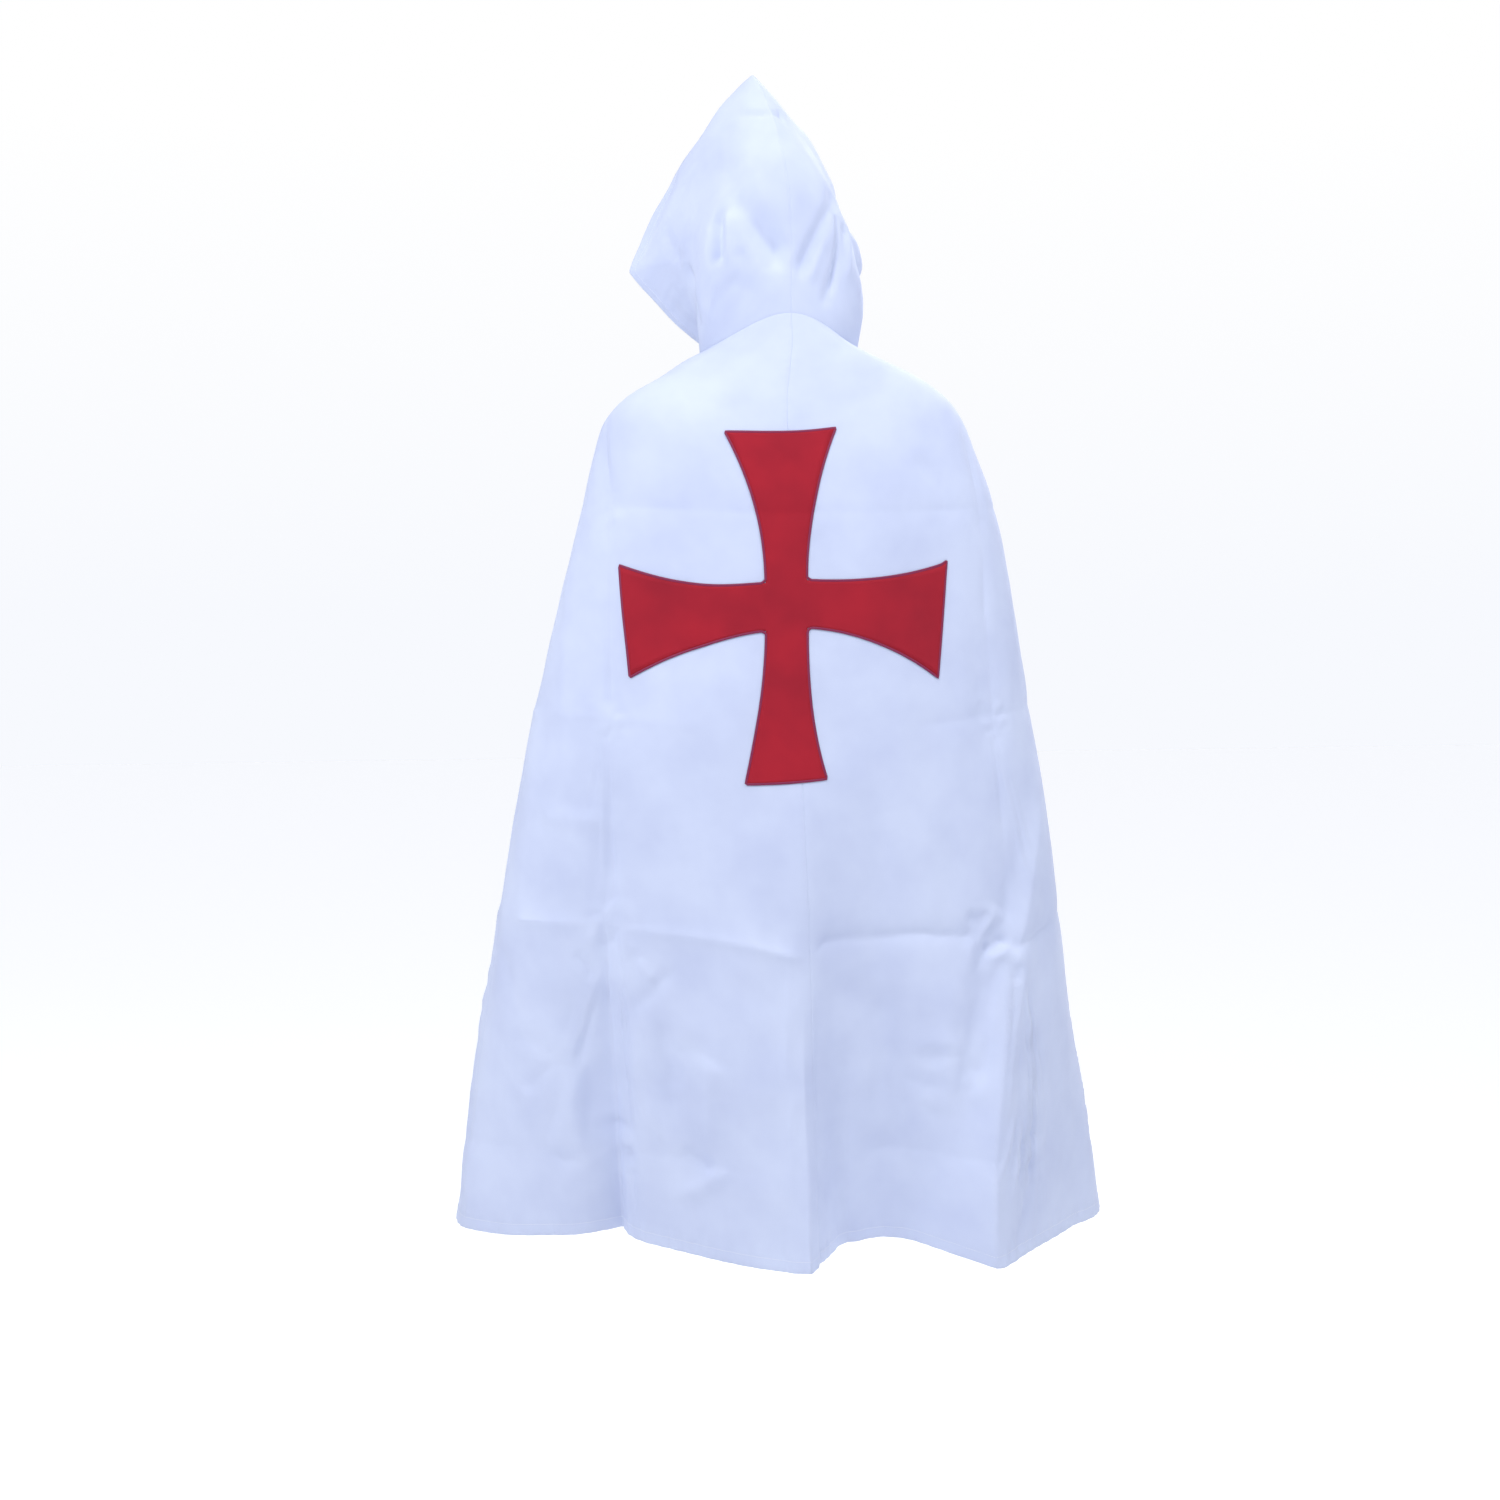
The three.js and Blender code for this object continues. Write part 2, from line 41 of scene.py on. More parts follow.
# The cape as it hangs: millimetres and degrees here, turned to metres when a mesh is made. Angles go round
# the body, 0 at the middle of the back and 90 at the right side; fall is the share of the length from the
# neck seam to the hem.
cape = {
    "length": 1290,
    "columns": "fall side back front backUp sideUp frontUp square shift seam",
    "foldEase": 1.25,
    "sweepEase": 1.6,
    "frontEdge": [(0.0, 15), (0.07, 12), (0.13, -3), (0.25, -12), (0.5, -24), (1.0, -48)],
    "lapLift": 2.7,
    "lapAngles": (158, 168),
    "lapFalls": (0.14, 0.3),
    "cloth": 0.9,
    "turnedTimes": 2.2,  # how many times as thick it is where it is turned in
    "hemTurn": 17,
    "hemRows": 4,
    "hemStep": 0.0006,
    "sharedReach": 16,  # so far from a seam both panels are moved the same way, and stay together
    "evenings": 14,  # how often the directions of the marks are evened out
}
cape["rings"] = [
    (0.0, 112, 85, 80, 0, -48, -95, 2.0, 0, 0),
    (0.031, 150, 97, 85, -38, -62, -131, 2.1, 12, -13),
    (0.067, 190, 112, 93, -81, -84, -172, 2.2, 20, -28),
    (0.103, 231, 128, 103, -125, -112, -213, 2.3, 15, -30),
    (0.136, 257, 141, 112, -165, -145, -251, 2.35, 11, -28),
    (0.169, 272, 152, 120, -206, -186, -289, 2.35, 12, -29),
    (0.231, 295, 166, 131, -286, -264, -360, 2.3, 17, -33),
    (0.365, 331, 186, 150, -458, -434, -517, 2.25, 14, -31),
    (0.634, 389.5, 234, 193, -801, -777, -830, 2.15, 5.5, -14),
    (1.0, 450, 290, 250, -1262, -1257, -1257, 2.1, 6.5, -11),
]
# the angle of a fold's line at the hem, its half widths before and after that line, how far out and up it
# goes at the hem, 1 for a crease, the fall where it starts, and how many degrees further round it is there
cape["folds"] = [
    (-5, 9, 5, 24, 0, 1, 0.7, 0),
    (12, 23, 20, -84, 13, 0, 0.5, 0),
    (28, 16, 10, -56, 14, 0, 0.5, 0),
    (35.5, 6, 38, 54, -9, 1, 0.48, 48),
    (78, 14, 12, 4, -5, 0, 0.5, 0),
    (-62, 28, 62, -80, 19, 0, 0.45, 0),
    (-62, 7, 12, -42, 6, 1, 0.5, 0),
    (-84, 8, 8, 0, 4, 0, 0.5, 0),
    (-101, 14, 14, 14, 0, 0, 0.4, 0),
    (112, 15, 14, -58, 4, 0, 0.3, 0),
    (136, 14, 13, 20, 0, 0, 0.35, 0),
    (158, 12, 12, -34, 0, 0, 0.35, 0),
    (-122, 12, 14, -52, 4, 0, 0.32, 0),
    (-140, 11, 12, 20, 0, 0, 0.35, 0),
    (-160, 11, 11, -34, 0, 0, 0.3, 0),
]
turnedHalf = cape["turnedTimes"] / 2 * cape["cloth"]


def tableCurve(rows, column, x):  # a smooth curve through a table, with the slopes of each point's neighbours
    table, x = np.array(rows, float), np.asarray(x, float)
    xs, ys = table[:, 0], table[:, column]
    low, high = np.maximum(np.arange(len(xs)) - 1, 0), np.minimum(np.arange(len(xs)) + 1, len(xs) - 1)
    slopes = (ys[high] - ys[low]) / (xs[high] - xs[low])
    i = np.clip(np.searchsorted(xs, x, side="right") - 1, 0, len(xs) - 2)
    width = xs[i + 1] - xs[i]
    s = np.clip((x - xs[i]) / width, 0, 1)
    return (
        (2 * s**3 - 3 * s**2 + 1) * ys[i]
        + (s**3 - 2 * s**2 + s) * width * slopes[i]
        + (3 * s**2 - 2 * s**3) * ys[i + 1]
        + (s**3 - s**2) * width * slopes[i + 1]
    )


def smoothStep(x, low, high):
    s = np.clip((np.asarray(x, float) - low) / (high - low), 0, 1)
    return s * s * (3 - 2 * s)


def unit(vectors):
    return vectors / np.linalg.norm(vectors, axis=-1, keepdims=True)


def ring(column, fall):
    return tableCurve(cape["rings"], cape["columns"].split().index(column), fall)


def foldSum(which, angle, fall):
    turned = (angle + 540) % 360 - 180
    total = np.zeros(np.broadcast(turned, fall).shape)
    for at, before, after, out, raised, pointed, start, sweep in cape["folds"]:
        away = turned - at - sweep * np.clip((1 - fall) / (1 - start), 0, 1) ** cape["sweepEase"]
        share = np.clip(np.where(away < 0, -away / before, away / after), 0, 1)
        growth = np.clip((fall - start) / (1 - start), 0, 1) ** cape["foldEase"]
        profile = (1 - pointed) * np.cos(share * math.pi / 2) ** 2 + pointed * (1 - share) ** 2
        total = total + (out if which == "out" else raised) * growth * profile
    return total


def capePoint(angle, fall, lapped=False):  # the middle of the cape's cloth, in millimetres
    angle, fall = np.broadcast_arrays(np.asarray(angle, float), np.asarray(fall, float))
    sine, cosine = np.sin(np.radians(angle)), np.cos(np.radians(angle))
    behind = cosine > 0
    depth = np.where(behind, ring("back", fall), ring("front", fall))
    n = ring("square", fall)
    out = ((np.abs(sine) / ring("side", fall)) ** n + (np.abs(cosine) / depth) ** n) ** (-1 / n)
    out = out + foldSum("out", angle, fall)
    if lapped:
        near = smoothStep(np.abs(angle), *cape["lapAngles"])
        out = out + cape["lapLift"] * near * (1 - smoothStep(fall, *cape["lapFalls"]))
    sideUp = ring("sideUp", fall)
    up = sideUp + (np.where(behind, ring("backUp", fall), ring("frontUp", fall)) - sideUp) * cosine**2
    return np.stack([out * sine + ring("shift", fall), -out * cosine, up + foldSum("raise", angle, fall)], -1)


def seamAngle(fall):
    return np.degrees(np.arctan2(ring("seam", fall), ring("back", fall)))


def frontEnd(fall):
    return 180 + np.degrees(np.arctan2(tableCurve(cape["frontEdge"], 1, fall), ring("front", fall)))


def outwardAt(angle, rise):
    return np.stack([np.sin(np.radians(angle)), -np.cos(np.radians(angle)), rise + 0 * angle], -1)


def outNormal(angle, fall, lapped=False):  # the direction straight out of the cloth before it has any marks
    turn, drop = 0.4, 0.0016
    sideways = capePoint(angle + turn, fall, lapped) - capePoint(angle - turn, fall, lapped)
    downward = capePoint(angle, fall + drop, lapped) - capePoint(angle, fall - drop, lapped)
    normal = unit(np.cross(sideways, downward))
    return normal * np.where((normal * outwardAt(angle, 0)).sum(-1, keepdims=True) < 0, -1, 1)


# The hood as ribs that fan out from the throat, from the neck seam at along 0 to the front edge at along 1
hood = {
    "columns": "along seamForward seamUp out forward up roundTop roundLow",
    "endAngle": 156,
    "throatForward": 3,
    "throatRise": 20,
    "neckEase": 0.3,
    "turn": 3,
    "turnHeight": 130,
    "peakLean": -27,
    "leanHeight": 400,
    "gridRows": 104,
    "gridColumns": 120,
    "inside": (0, 60, 60),  # the place of the wearer's head, which the cloth faces away from
    "waves": [(70, 2.2), (30, 0.9), (14, 0.3)],  # cell size and height
    "neckFade": 0.15,
    "crownFade": 0.06,
    "edgeFade": (-20, 22),
    "seamShare": 0.15,  # of the groove that the body's seams have
}
hood["ribs"] = [
    (0.0, -85, 0, 112, 0, -48, 1.0, 1.0),
    (0.2, -79, 88, 120, -8, 22, 1.0, 0.9),
    (0.4, -72, 186, 118, 8, 62, 0.9, 0.8),
    (0.6, -34, 282, 121, 46, 84, 0.65, 0.7),
    (0.8, 48, 359, 140, 100, 94, 0.42, 0.55),
    (1.0, 150, 300, 174, 165, 88, 0.55, 0.3),
]
# ends (across, forward, up), half width and depth of the lines along which the hood is drawn in
hood["troughs"] = [
    ((104, 30, 160), (92, -6, 155), 9, 4),
    ((73, -48, 172), (10, -80, 60), 13, 6),
    ((82, -46, 122), (50, -76, 20), 9, 6),
    ((-90, -38, 142), (-95, -50, 82), 10, 6),
    ((-70, -20, 209), (-18, -79, 80), 22, 7),
    ((-120, 42, 72), (-112, -14, -14), 12, 5),
    ((122, 50, 118), (124, 45, 94), 32, -19),
    ((74, 60, 266), (100, 60, 208), 32, -13),
    ((-62, 150, 270), (-90, 152, 240), 30, -4),
    ((-118, 158, 212), (-152, 162, 135), 36, 12),
]
handle = 0.5523  # length of the handles with which a cubic curve makes a quarter circle of radius 1


def rib(column, along):
    return tableCurve(hood["ribs"], hood["columns"].split().index(column), along)


def neckAngle(across):
    return np.where(across <= 0.5, 180 * across, 90 + (hood["endAngle"] - 90) * (2 * across - 1))


def ribPoint(across, along):
    zero = np.zeros(along.shape)
    seam = np.stack([zero, rib("seamForward", along), rib("seamUp", along)], -1)
    wide = np.stack([rib("out", along), rib("forward", along), rib("up", along)], -1)
    rise = np.array([0, hood["throatForward"], hood["throatRise"]])
    throat = capePoint(hood["endAngle"], 0.0) + along[..., None] * rise
    upper = (across <= 0.5)[..., None]
    start, end = np.where(upper, seam, wide), np.where(upper, wide, throat)
    roundness = np.where(upper[..., 0], rib("roundTop", along), rib("roundLow", along))[..., None]
    third = (end - start) / 3
    lowerLeave = (throat - wide) * handle * np.stack([zero, zero + 1, along], -1)
    leaving = np.where(upper, np.stack([wide[..., 0] * handle, zero, zero], -1), lowerLeave)
    upperArrive = (seam - wide) * handle * np.array([0, 1, 1])
    arriving = np.where(upper, upperArrive, (wide - throat) * handle * np.array([1, 0, 0]))
    first = start + leaving * roundness + third * (1 - roundness)
    second = end + arriving * roundness - third * (1 - roundness)
    s = np.where(upper, across[..., None] * 2, across[..., None] * 2 - 1)
    r = 1 - s
    return start * r**3 + first * 3 * r * r * s + second * 3 * r * s * s + end * s**3


def hoodPoint(side, across, along):  # the middle of the hood's cloth before it is drawn in and turned
    across, along = np.broadcast_arrays(np.asarray(across, float), np.asarray(along, float))
    point = ribPoint(across, along)
    drift = capePoint(neckAngle(across), 0.0) - ribPoint(across, np.zeros(across.shape))
    point = point + drift * (1 - smoothStep(along, 0, hood["neckEase"]))[..., None]
    return point * np.array([side, 1, 1])


def lineDistance(points, a, b):
    a, b = np.array(a, float), np.array(b, float)
    t = np.clip(((points - a) @ (b - a)) / ((b - a) @ (b - a)), 0, 1)
    return np.linalg.norm(points - (a + t[..., None] * (b - a)), axis=-1), t


def troughDepth(points):
    depth = np.zeros(points.shape[:-1])
    for a, b, half, deep in hood["troughs"]:
        depth += deep * np.exp(-((lineDistance(points, a, b)[0] / half) ** 2))
    return depth


def poseHood(points):
    x, y, z = points[..., 0], points[..., 1], points[..., 2]
    neckUp = ring("sideUp", 0) * (1 + y / ring("back", 0))
    angle = math.radians(hood["turn"]) * smoothStep(z - neckUp, 0, hood["turnHeight"])
    lean = hood["peakLean"] * np.clip((z - neckUp) / hood["leanHeight"], 0, 1) ** 2
    sine, cosine = np.sin(angle), np.cos(angle)
    return np.stack([x * cosine - y * sine + lean, x * sine + y * cosine, z], -1)


# The marks of the cloth in its own sizes: millimetres right of the centre back seam and down from the neck
# seam. Each line has its height (negative for a trough), its half width and its points.
cloth = {
    # cell sizes, height, and the fall where they begin
    "waves": [(95, 340, 5.5, 0.25), (46, 150, 2.6, 0.15), (21, 50, 0.7, 0.0)],
    "packingFade": 0.06,  # how much of a line's length fades at either end
    "wrinkleFade": 0.3,
    "hoodFade": 0.25,
    "unevenCell": 60,
    "seamGroove": 0.5,
    "seamHalf": 3.6,
    "puckerAside": 5,
    "puckerPitch": 13,
    "puckerHeight": 0.35,
    "hemPitch": 22,
    "hemHeight": 0.7,
    "driftCell": 40,  # how far apart the puckers and ripples change their pitch
}
# sharp lines left by the folds in which the cape was packed, about 290 mm apart
cloth["packing"] = [
    (-1.8, 10, (-900, 292), (-375, 300), (-124, 301), (37, 290), (198, 298), (500, 300), (900, 292)),
    (2.6, 12, (-1000, 582), (-375, 592), (-283, 587), (-232, 587), (-120, 592)),
    (-2.2, 12, (150, 590), (420, 584), (1000, 588)),
    (7, 12, (-430, 872), (-266, 868), (-204, 869), (-133, 869), (-77, 873), (-6, 886)),
    (-6.5, 11, (6, 884), (25, 868), (113, 870), (162, 867), (252, 879), (298, 897), (420, 884)),
    (2.6, 15, (-1000, 862), (-520, 872), (-360, 871)),
    (-2.6, 13, (350, 890), (520, 872), (1000, 866)),
    (-3, 14, (-1100, 1160), (-404, 1177), (-358, 1180), (-187, 1163), (-147, 1168), (-60, 1172)),
    (-2.2, 14, (60, 1168), (260, 1160), (640, 1172), (1100, 1160)),
    (-6, 13, (-286, 150), (-262, 300), (-254, 430), (-260, 646), (-269, 871), (-271, 971), (-277, 1109),
     (-284, 1290)),
    (-3.4, 14, (290, 160), (296, 373), (296, 567), (297, 745), (300, 880)),
    (4.2, 11, (318, 900), (312, 952), (294, 1028), (291, 1068), (284, 1154), (290, 1290)),
    (-3.6, 12, (340, 930), (326, 990), (322, 1093), (338, 1218), (346, 1290)),
    (4, 15, (-560, 420), (-566, 800), (-560, 1290)),
    (4, 15, (575, 430), (570, 860), (580, 1290)),
    (-3.4, 15, (-830, 700), (-838, 1290)),
    (-3.4, 15, (842, 700), (836, 1290)),
]
# long soft wrinkles
cloth["wrinkles"] = [
    (4.4, 7, (304, 1100), (296, 1150), (283, 1190)),
    (4.4, 7, (318, 1110), (322, 1180), (323, 1225)),
    (-4, 10, (352, 1180), (362, 1230), (350, 1270)),
    (-4.2, 16, (100, 930), (116, 1030), (110, 1130)),
    (-3.6, 8, (-330, 905), (-312, 930), (-306, 950)),
    (3, 7, (-232, 905), (-222, 926), (-206, 934)),
    (-4.2, 22, (640, 560), (656, 760), (690, 900)),
    (-4.2, 22, (-650, 560), (-660, 760), (-700, 900)),
    (5.5, 30, (880, 480), (900, 800), (930, 1180)),
    (5.5, 30, (-880, 480), (-905, 800), (-940, 1180)),
    (4.4, 7, (302, 898), (276, 906), (246, 914)),
    (-4.4, 7, (297, 886), (270, 896), (247, 904)),
    (-4, 9, (306, 916), (300, 946)),
    (-3.6, 9, (222, 850), (246, 858), (270, 851)),
    (5, 13, (-141, 1000), (-146, 1060), (-151, 1124), (-160, 1150)),
    (-4.6, 10, (-196, 1150), (-170, 1162), (-147, 1178)),
    (4.6, 12, (-222, 1222), (-174, 1202), (-122, 1161)),
    (-4.4, 11, (-410, 1172), (-384, 1190), (-350, 1186)),
    (3.6, 14, (-460, 1050), (-430, 1100), (-420, 1150)),
    (-9.5, 26, (-345, 940), (-330, 1060), (-326, 1180)),
    (4.6, 22, (-232, 930), (-240, 1060), (-236, 1200)),
    (2.6, 12, (-395, 690), (-360, 728), (-300, 730), (-244, 724)),
    (-3.4, 16, (-300, 210), (-262, 262), (-238, 320)),
    (-3.4, 16, (170, 210), (215, 260), (246, 330)),
    (2.2, 20, (-60, 50), (-72, 110), (-70, 160)),
    (2.2, 20, (72, 42), (96, 92), (104, 140)),
    (-6.4, 19, (-205, 985), (-198, 1050), (-206, 1130)),
    (-3.4, 22, (-110, 905), (-60, 960), (-52, 1040)),
    (-3.4, 24, (60, 905), (88, 980), (80, 1080)),
    (3.8, 24, (196, 905), (214, 990), (206, 1100)),
    (-3.6, 15, (-470, 900), (-440, 950), (-428, 1010)),
    (-3.6, 10, (-180, 905), (-214, 950), (-262, 990)),
    (-2.6, 24, (-160, 300), (-190, 480), (-230, 640)),
    (-2.6, 24, (170, 330), (215, 520), (262, 680)),
    (-5, 18, (620, 980), (632, 1100), (650, 1250)),
    (4.6, 18, (-640, 960), (-650, 1100), (-640, 1250)),
    (-3.4, 20, (-720, 420), (-700, 560), (-716, 740)),
    (3.4, 20, (700, 400), (712, 560), (704, 720)),
    (4, 16, (760, 900), (778, 1050), (772, 1220)),
    (-4, 16, (-770, 880), (-784, 1060), (-790, 1230)),
]
# fans of long wrinkles: top, bottom, width at either end, how many side by side, height
cloth["fans"] = [
    ((318, 930), (386, 1280), 26, 120, 7, 4.6),
    ((296, 905), (250, 1120), 30, 110, 5, 3),
    ((-268, 885), (-250, 1180), 24, 130, 6, 3.2),
    ((-276, 900), (-400, 1200), 26, 130, 6, 3.2),
    ((-40, 890), (-70, 1250), 60, 190, 4, 2),
    ((-262, 600), (-300, 860), 24, 120, 5, 1.5),
    ((296, 600), (330, 860), 24, 120, 5, 1.5),
    ((800, 560), (820, 880), 50, 170, 5, 3),
    ((-800, 560), (-820, 880), 50, 170, 5, 3),
    ((842, 880), (900, 1260), 50, 200, 6, 3.6),
    ((-842, 880), (-900, 1260), 50, 200, 6, 3.6),
    ((570, 880), (600, 1250), 40, 170, 6, 2.8),
    ((-564, 880), (-590, 1250), 40, 170, 6, 2.8),
]
# where packing lines cross: the place, its reach, the facets' size and height, and how they are turned
cloth["crumples"] = [
    (-270, 876, 62, 19, 4.2, 20),
    (268, 886, 66, 21, 5.4, 38),
    (-262, 590, 44, 17, 2.2, 12),
    (296, 590, 46, 17, 2.4, 30),
    (-300, 1172, 60, 20, 3, 25),
    (352, 1172, 62, 21, 3.2, 40),
    (-562, 868, 60, 20, 2.4, 15),
    (572, 868, 60, 20, 2.4, 33),
    (-566, 1165, 54, 20, 1.6, 28),
    (574, 1168, 54, 20, 1.6, 18),
    (-260, 302, 36, 14, 1.4, 10),
    (294, 300, 36, 14, 1.4, 24),
    (838, 868, 54, 20, 3, 12),
    (-834, 866, 54, 20, 3, 36),
    (-400, 1060, 90, 26, 2.6, 30),
    (-170, 1040, 80, 26, 2.2, 15),
    (200, 1050, 80, 26, 2.2, 42),
    (330, 1040, 60, 19, 1.4, 35),
]
latticeSize = 64


def latticeCorners(a, b, seed):  # heights from -1 to 1 at the corners of each cell, and the place in it
    lattice = np.random.default_rng(seed).uniform(-1, 1, (latticeSize, latticeSize))
    i, j = np.floor(a).astype(int), np.floor(b).astype(int)
    heights = [lattice[(i + m) % latticeSize, (j + n) % latticeSize] for n in (0, 1) for m in (0, 1)]
    return heights, a - i, b - j


def latticeNoise(u, v, cellU, cellV, seed):  # soft noise
    (near, right, above, far), s, t = latticeCorners(u / cellU, v / cellV, seed)
    s, t = s * s * (3 - 2 * s), t * t * (3 - 2 * t)
    return (near * (1 - s) + right * s) * (1 - t) + (above * (1 - s) + far * s) * t


def facetNoise(u, v, cell, seed):  # flat triangular facets, as in crumpled cloth
    warp = 1.3 * cell
    warpU, warpV = (0.45 * cell * latticeNoise(u, v, warp, warp, seed + k) for k in (1, 2))
    (near, right, above, far), s, t = latticeCorners((u + warpU) / cell, (v + warpV) / cell, seed)
    lower = near + (right - near) * s + (above - near) * t
    upper = far + (above - far) * (1 - s) + (right - far) * (1 - t)
    return np.where(s + t < 1, lower, upper)


def polylineDistance(places, line, evenSteps=False):  # distance to a line, and the share of it passed there
    line = np.array(line, float)
    steps = np.ones(len(line) - 1) if evenSteps else np.linalg.norm(np.diff(line, axis=0), axis=1)
    nearest, along, run = np.full(places.shape[:-1], 1e9), np.zeros(places.shape[:-1]), 0.0
    for a, b, step in zip(line[:-1], line[1:], steps):
        d, t = lineDistance(places, a, b)
        along = np.where(d < nearest, (run + t * step) / steps.sum(), along)
        nearest = np.minimum(nearest, d)
        run += step
    return nearest, along


def endFade(along, share):
    return smoothStep(along, 0, share) * (1 - smoothStep(along, 1 - share, 1))


def marksHeight(across, drop):  # how far the marks move the cloth out, in millimetres
    fall = drop / cape["length"]
    total = np.zeros(across.shape)
    places = np.stack([across, drop], -1)
    uneven = 0.75 + 0.45 * latticeNoise(across, drop, cloth["unevenCell"], cloth["unevenCell"], 7)
    for height, half, *line in cloth["packing"]:
        d, along = polylineDistance(places, line)
        total += height * uneven * np.exp(-d / half) * endFade(along, cloth["packingFade"])
    for height, half, *line in cloth["wrinkles"]:
        d, along = polylineDistance(places, line)
        total += height * np.exp(-((d / half) ** 2)) * endFade(along, cloth["wrinkleFade"])
    for (topU, topV), (lowU, lowV), topWidth, lowWidth, count, height in cloth["fans"]:
        part = (drop - topV) / (lowV - topV)
        width = topWidth + (lowWidth - topWidth) * np.clip(part, 0, 1)
        aside = (across - topU - (lowU - topU) * part) / width
        ends = smoothStep(part, 0, 0.2) * (1 - smoothStep(part, 0.75, 1))
        inside = np.clip(1 - (2 * aside) ** 2, 0, 1) * ends
        streaks = 1 - 2 * np.abs(latticeNoise(aside * count + 30, part * 3 + 5, 1, 1, int(height * 100)))
        total += height * inside * streaks
    for placeU, placeV, reach, cell, height, slant in cloth["crumples"]:
        c, s = math.cos(math.radians(slant)), math.sin(math.radians(slant))
        aside, below = across - placeU, drop - placeV
        u, v = aside * c + below * s, below * c - aside * s
        inside = 1 - smoothStep(np.hypot(u, v), 0.35 * reach, reach)
        total += height * inside * facetNoise(u, v, cell, int(placeV))
    for seed, (cellU, cellV, height, start) in enumerate(cloth["waves"]):
        grown = smoothStep(fall, start, start + 0.35)
        total += height * grown * latticeNoise(across, drop, cellU, cellV, 100 + seed)
    hemBand = smoothStep(drop, cape["length"] - 2 * cape["hemTurn"], cape["length"] - cape["hemTurn"])
    drift = latticeNoise(across, drop, cloth["driftCell"], cloth["driftCell"], 11)
    ripple = np.sin(2 * math.pi * across / cloth["hemPitch"] + 2.5 * drift)
    return (total + cloth["hemHeight"] * ripple * hemBand) * smoothStep(drop, 4, 60)


def seamMark(distance, along):  # a seam: a narrow groove with small puckers beside it
    drift = latticeNoise(along, along, cloth["driftCell"], cloth["driftCell"], 9)
    pucker = np.sin(2 * math.pi * along / cloth["puckerPitch"] + 2 * drift)
    groove = -cloth["seamGroove"] * np.exp(-((distance / cloth["seamHalf"]) ** 2))
    return groove + cloth["puckerHeight"] * pucker * np.exp(-((distance / cloth["puckerAside"] - 1) ** 2))


def gridNormals(points, outward):
    alongRows, alongColumns = np.gradient(points, axis=0), np.gradient(points, axis=1)
    normals = np.cross(alongColumns, alongRows)
    normals /= np.maximum(np.linalg.norm(normals, axis=-1, keepdims=True), 1e-9)
    return normals * np.where((normals * outward).sum(-1, keepdims=True) < 0, -1, 1)


def rowDistance(points):
    steps = np.linalg.norm(np.diff(points, axis=1), axis=-1)
    return np.concatenate([np.zeros((len(points), 1)), np.cumsum(steps, 1)], 1)


def backWidth(fall, side):  # along the cloth from the centre back seam to the side seam
    share = np.linspace(0, 1, 120)
    start = seamAngle(fall)[:, None]
    return rowDistance(capePoint(start + (side * 90 - start) * share, fall[:, None]))[:, -1]


def panelGrid(panel):
    side, isFront = panel["side"], panel["front"]
    hemStart = 1 - cape["hemTurn"] / cape["length"]
    aboveHem = np.linspace(0, hemStart - cape["hemStep"], panel["rows"] - cape["hemRows"])
    fall = np.concatenate([aboveHem, np.linspace(hemStart, 1, cape["hemRows"])])[:, None]
    share = np.linspace(0, 1, panel["columns"])[None, :]
    if isFront:
        angle = side * (90 + (frontEnd(fall) - 90) * share)
    else:
        angle = seamAngle(fall) + (side * 90 - seamAngle(fall)) * share
    points = capePoint(angle, fall, isFront and side < 0)
    outward = unit(outwardAt(angle, 0.3))
    width = rowDistance(points)
    toSeam = width if isFront else np.minimum(width, width[:, -1:] - width)
    shared = (1 - smoothStep(toSeam, 0, cape["sharedReach"]))[..., None]
    normals = gridNormals(points, outward)
    for _ in range(cape["evenings"]):  # or the cloth would fold through itself where a mark crosses a crease
        normals[:, 1:-1] = (normals[:, :-2] + 2 * normals[:, 1:-1] + normals[:, 2:]) / 4
    normals = unit(normals * (1 - shared) + outward * shared)
    half = backWidth(fall[:, 0], side)[:, None]
    across = side * (width + (half if isFront else 0))
    drop = np.broadcast_to(fall * cape["length"], across.shape)
    toEdge = width[:, -1:] - width if isFront else np.full(width.shape, 1e9)
    height = marksHeight(across, drop) + seamMark(toSeam, drop) * smoothStep(drop, 0, 12)
    flat = smoothStep(toEdge, 0, 30) if isFront else 1
    points = points + normals * (height * flat)[..., None]
    turned = np.maximum(drop > hemStart * cape["length"] - 0.2, toEdge < stitching["frontEdge"])
    return points, across, drop, turned, toEdge


def addObject(name, points, faces, uv=None):
    mesh = bpy.data.meshes.new(name)
    mesh.from_pydata((np.asarray(points) * mm).tolist(), [], faces)
    if uv is not None:
        layer = mesh.uv_layers.new(name="grain")
        loops = np.empty(len(mesh.loops), dtype=np.int32)
        mesh.loops.foreach_get("vertex_index", loops)
        layer.data.foreach_set("uv", (np.asarray(uv)[loops] * mm).ravel())
    mesh.polygons.foreach_set("use_smooth", [True] * len(mesh.polygons))
    mesh.update()
    piece = bpy.data.objects.new(name, mesh)
    bpy.context.scene.collection.objects.link(piece)
    return piece


def gridFaces(rows, columns, flip=False):
    r, c = np.meshgrid(np.arange(rows - 1), np.arange(columns - 1), indexing="ij")
    a = (r * columns + c).ravel()
    quads = np.stack([a, a + 1, a + columns + 1, a + columns], 1)
    return (quads[:, ::-1] if flip else quads).tolist()


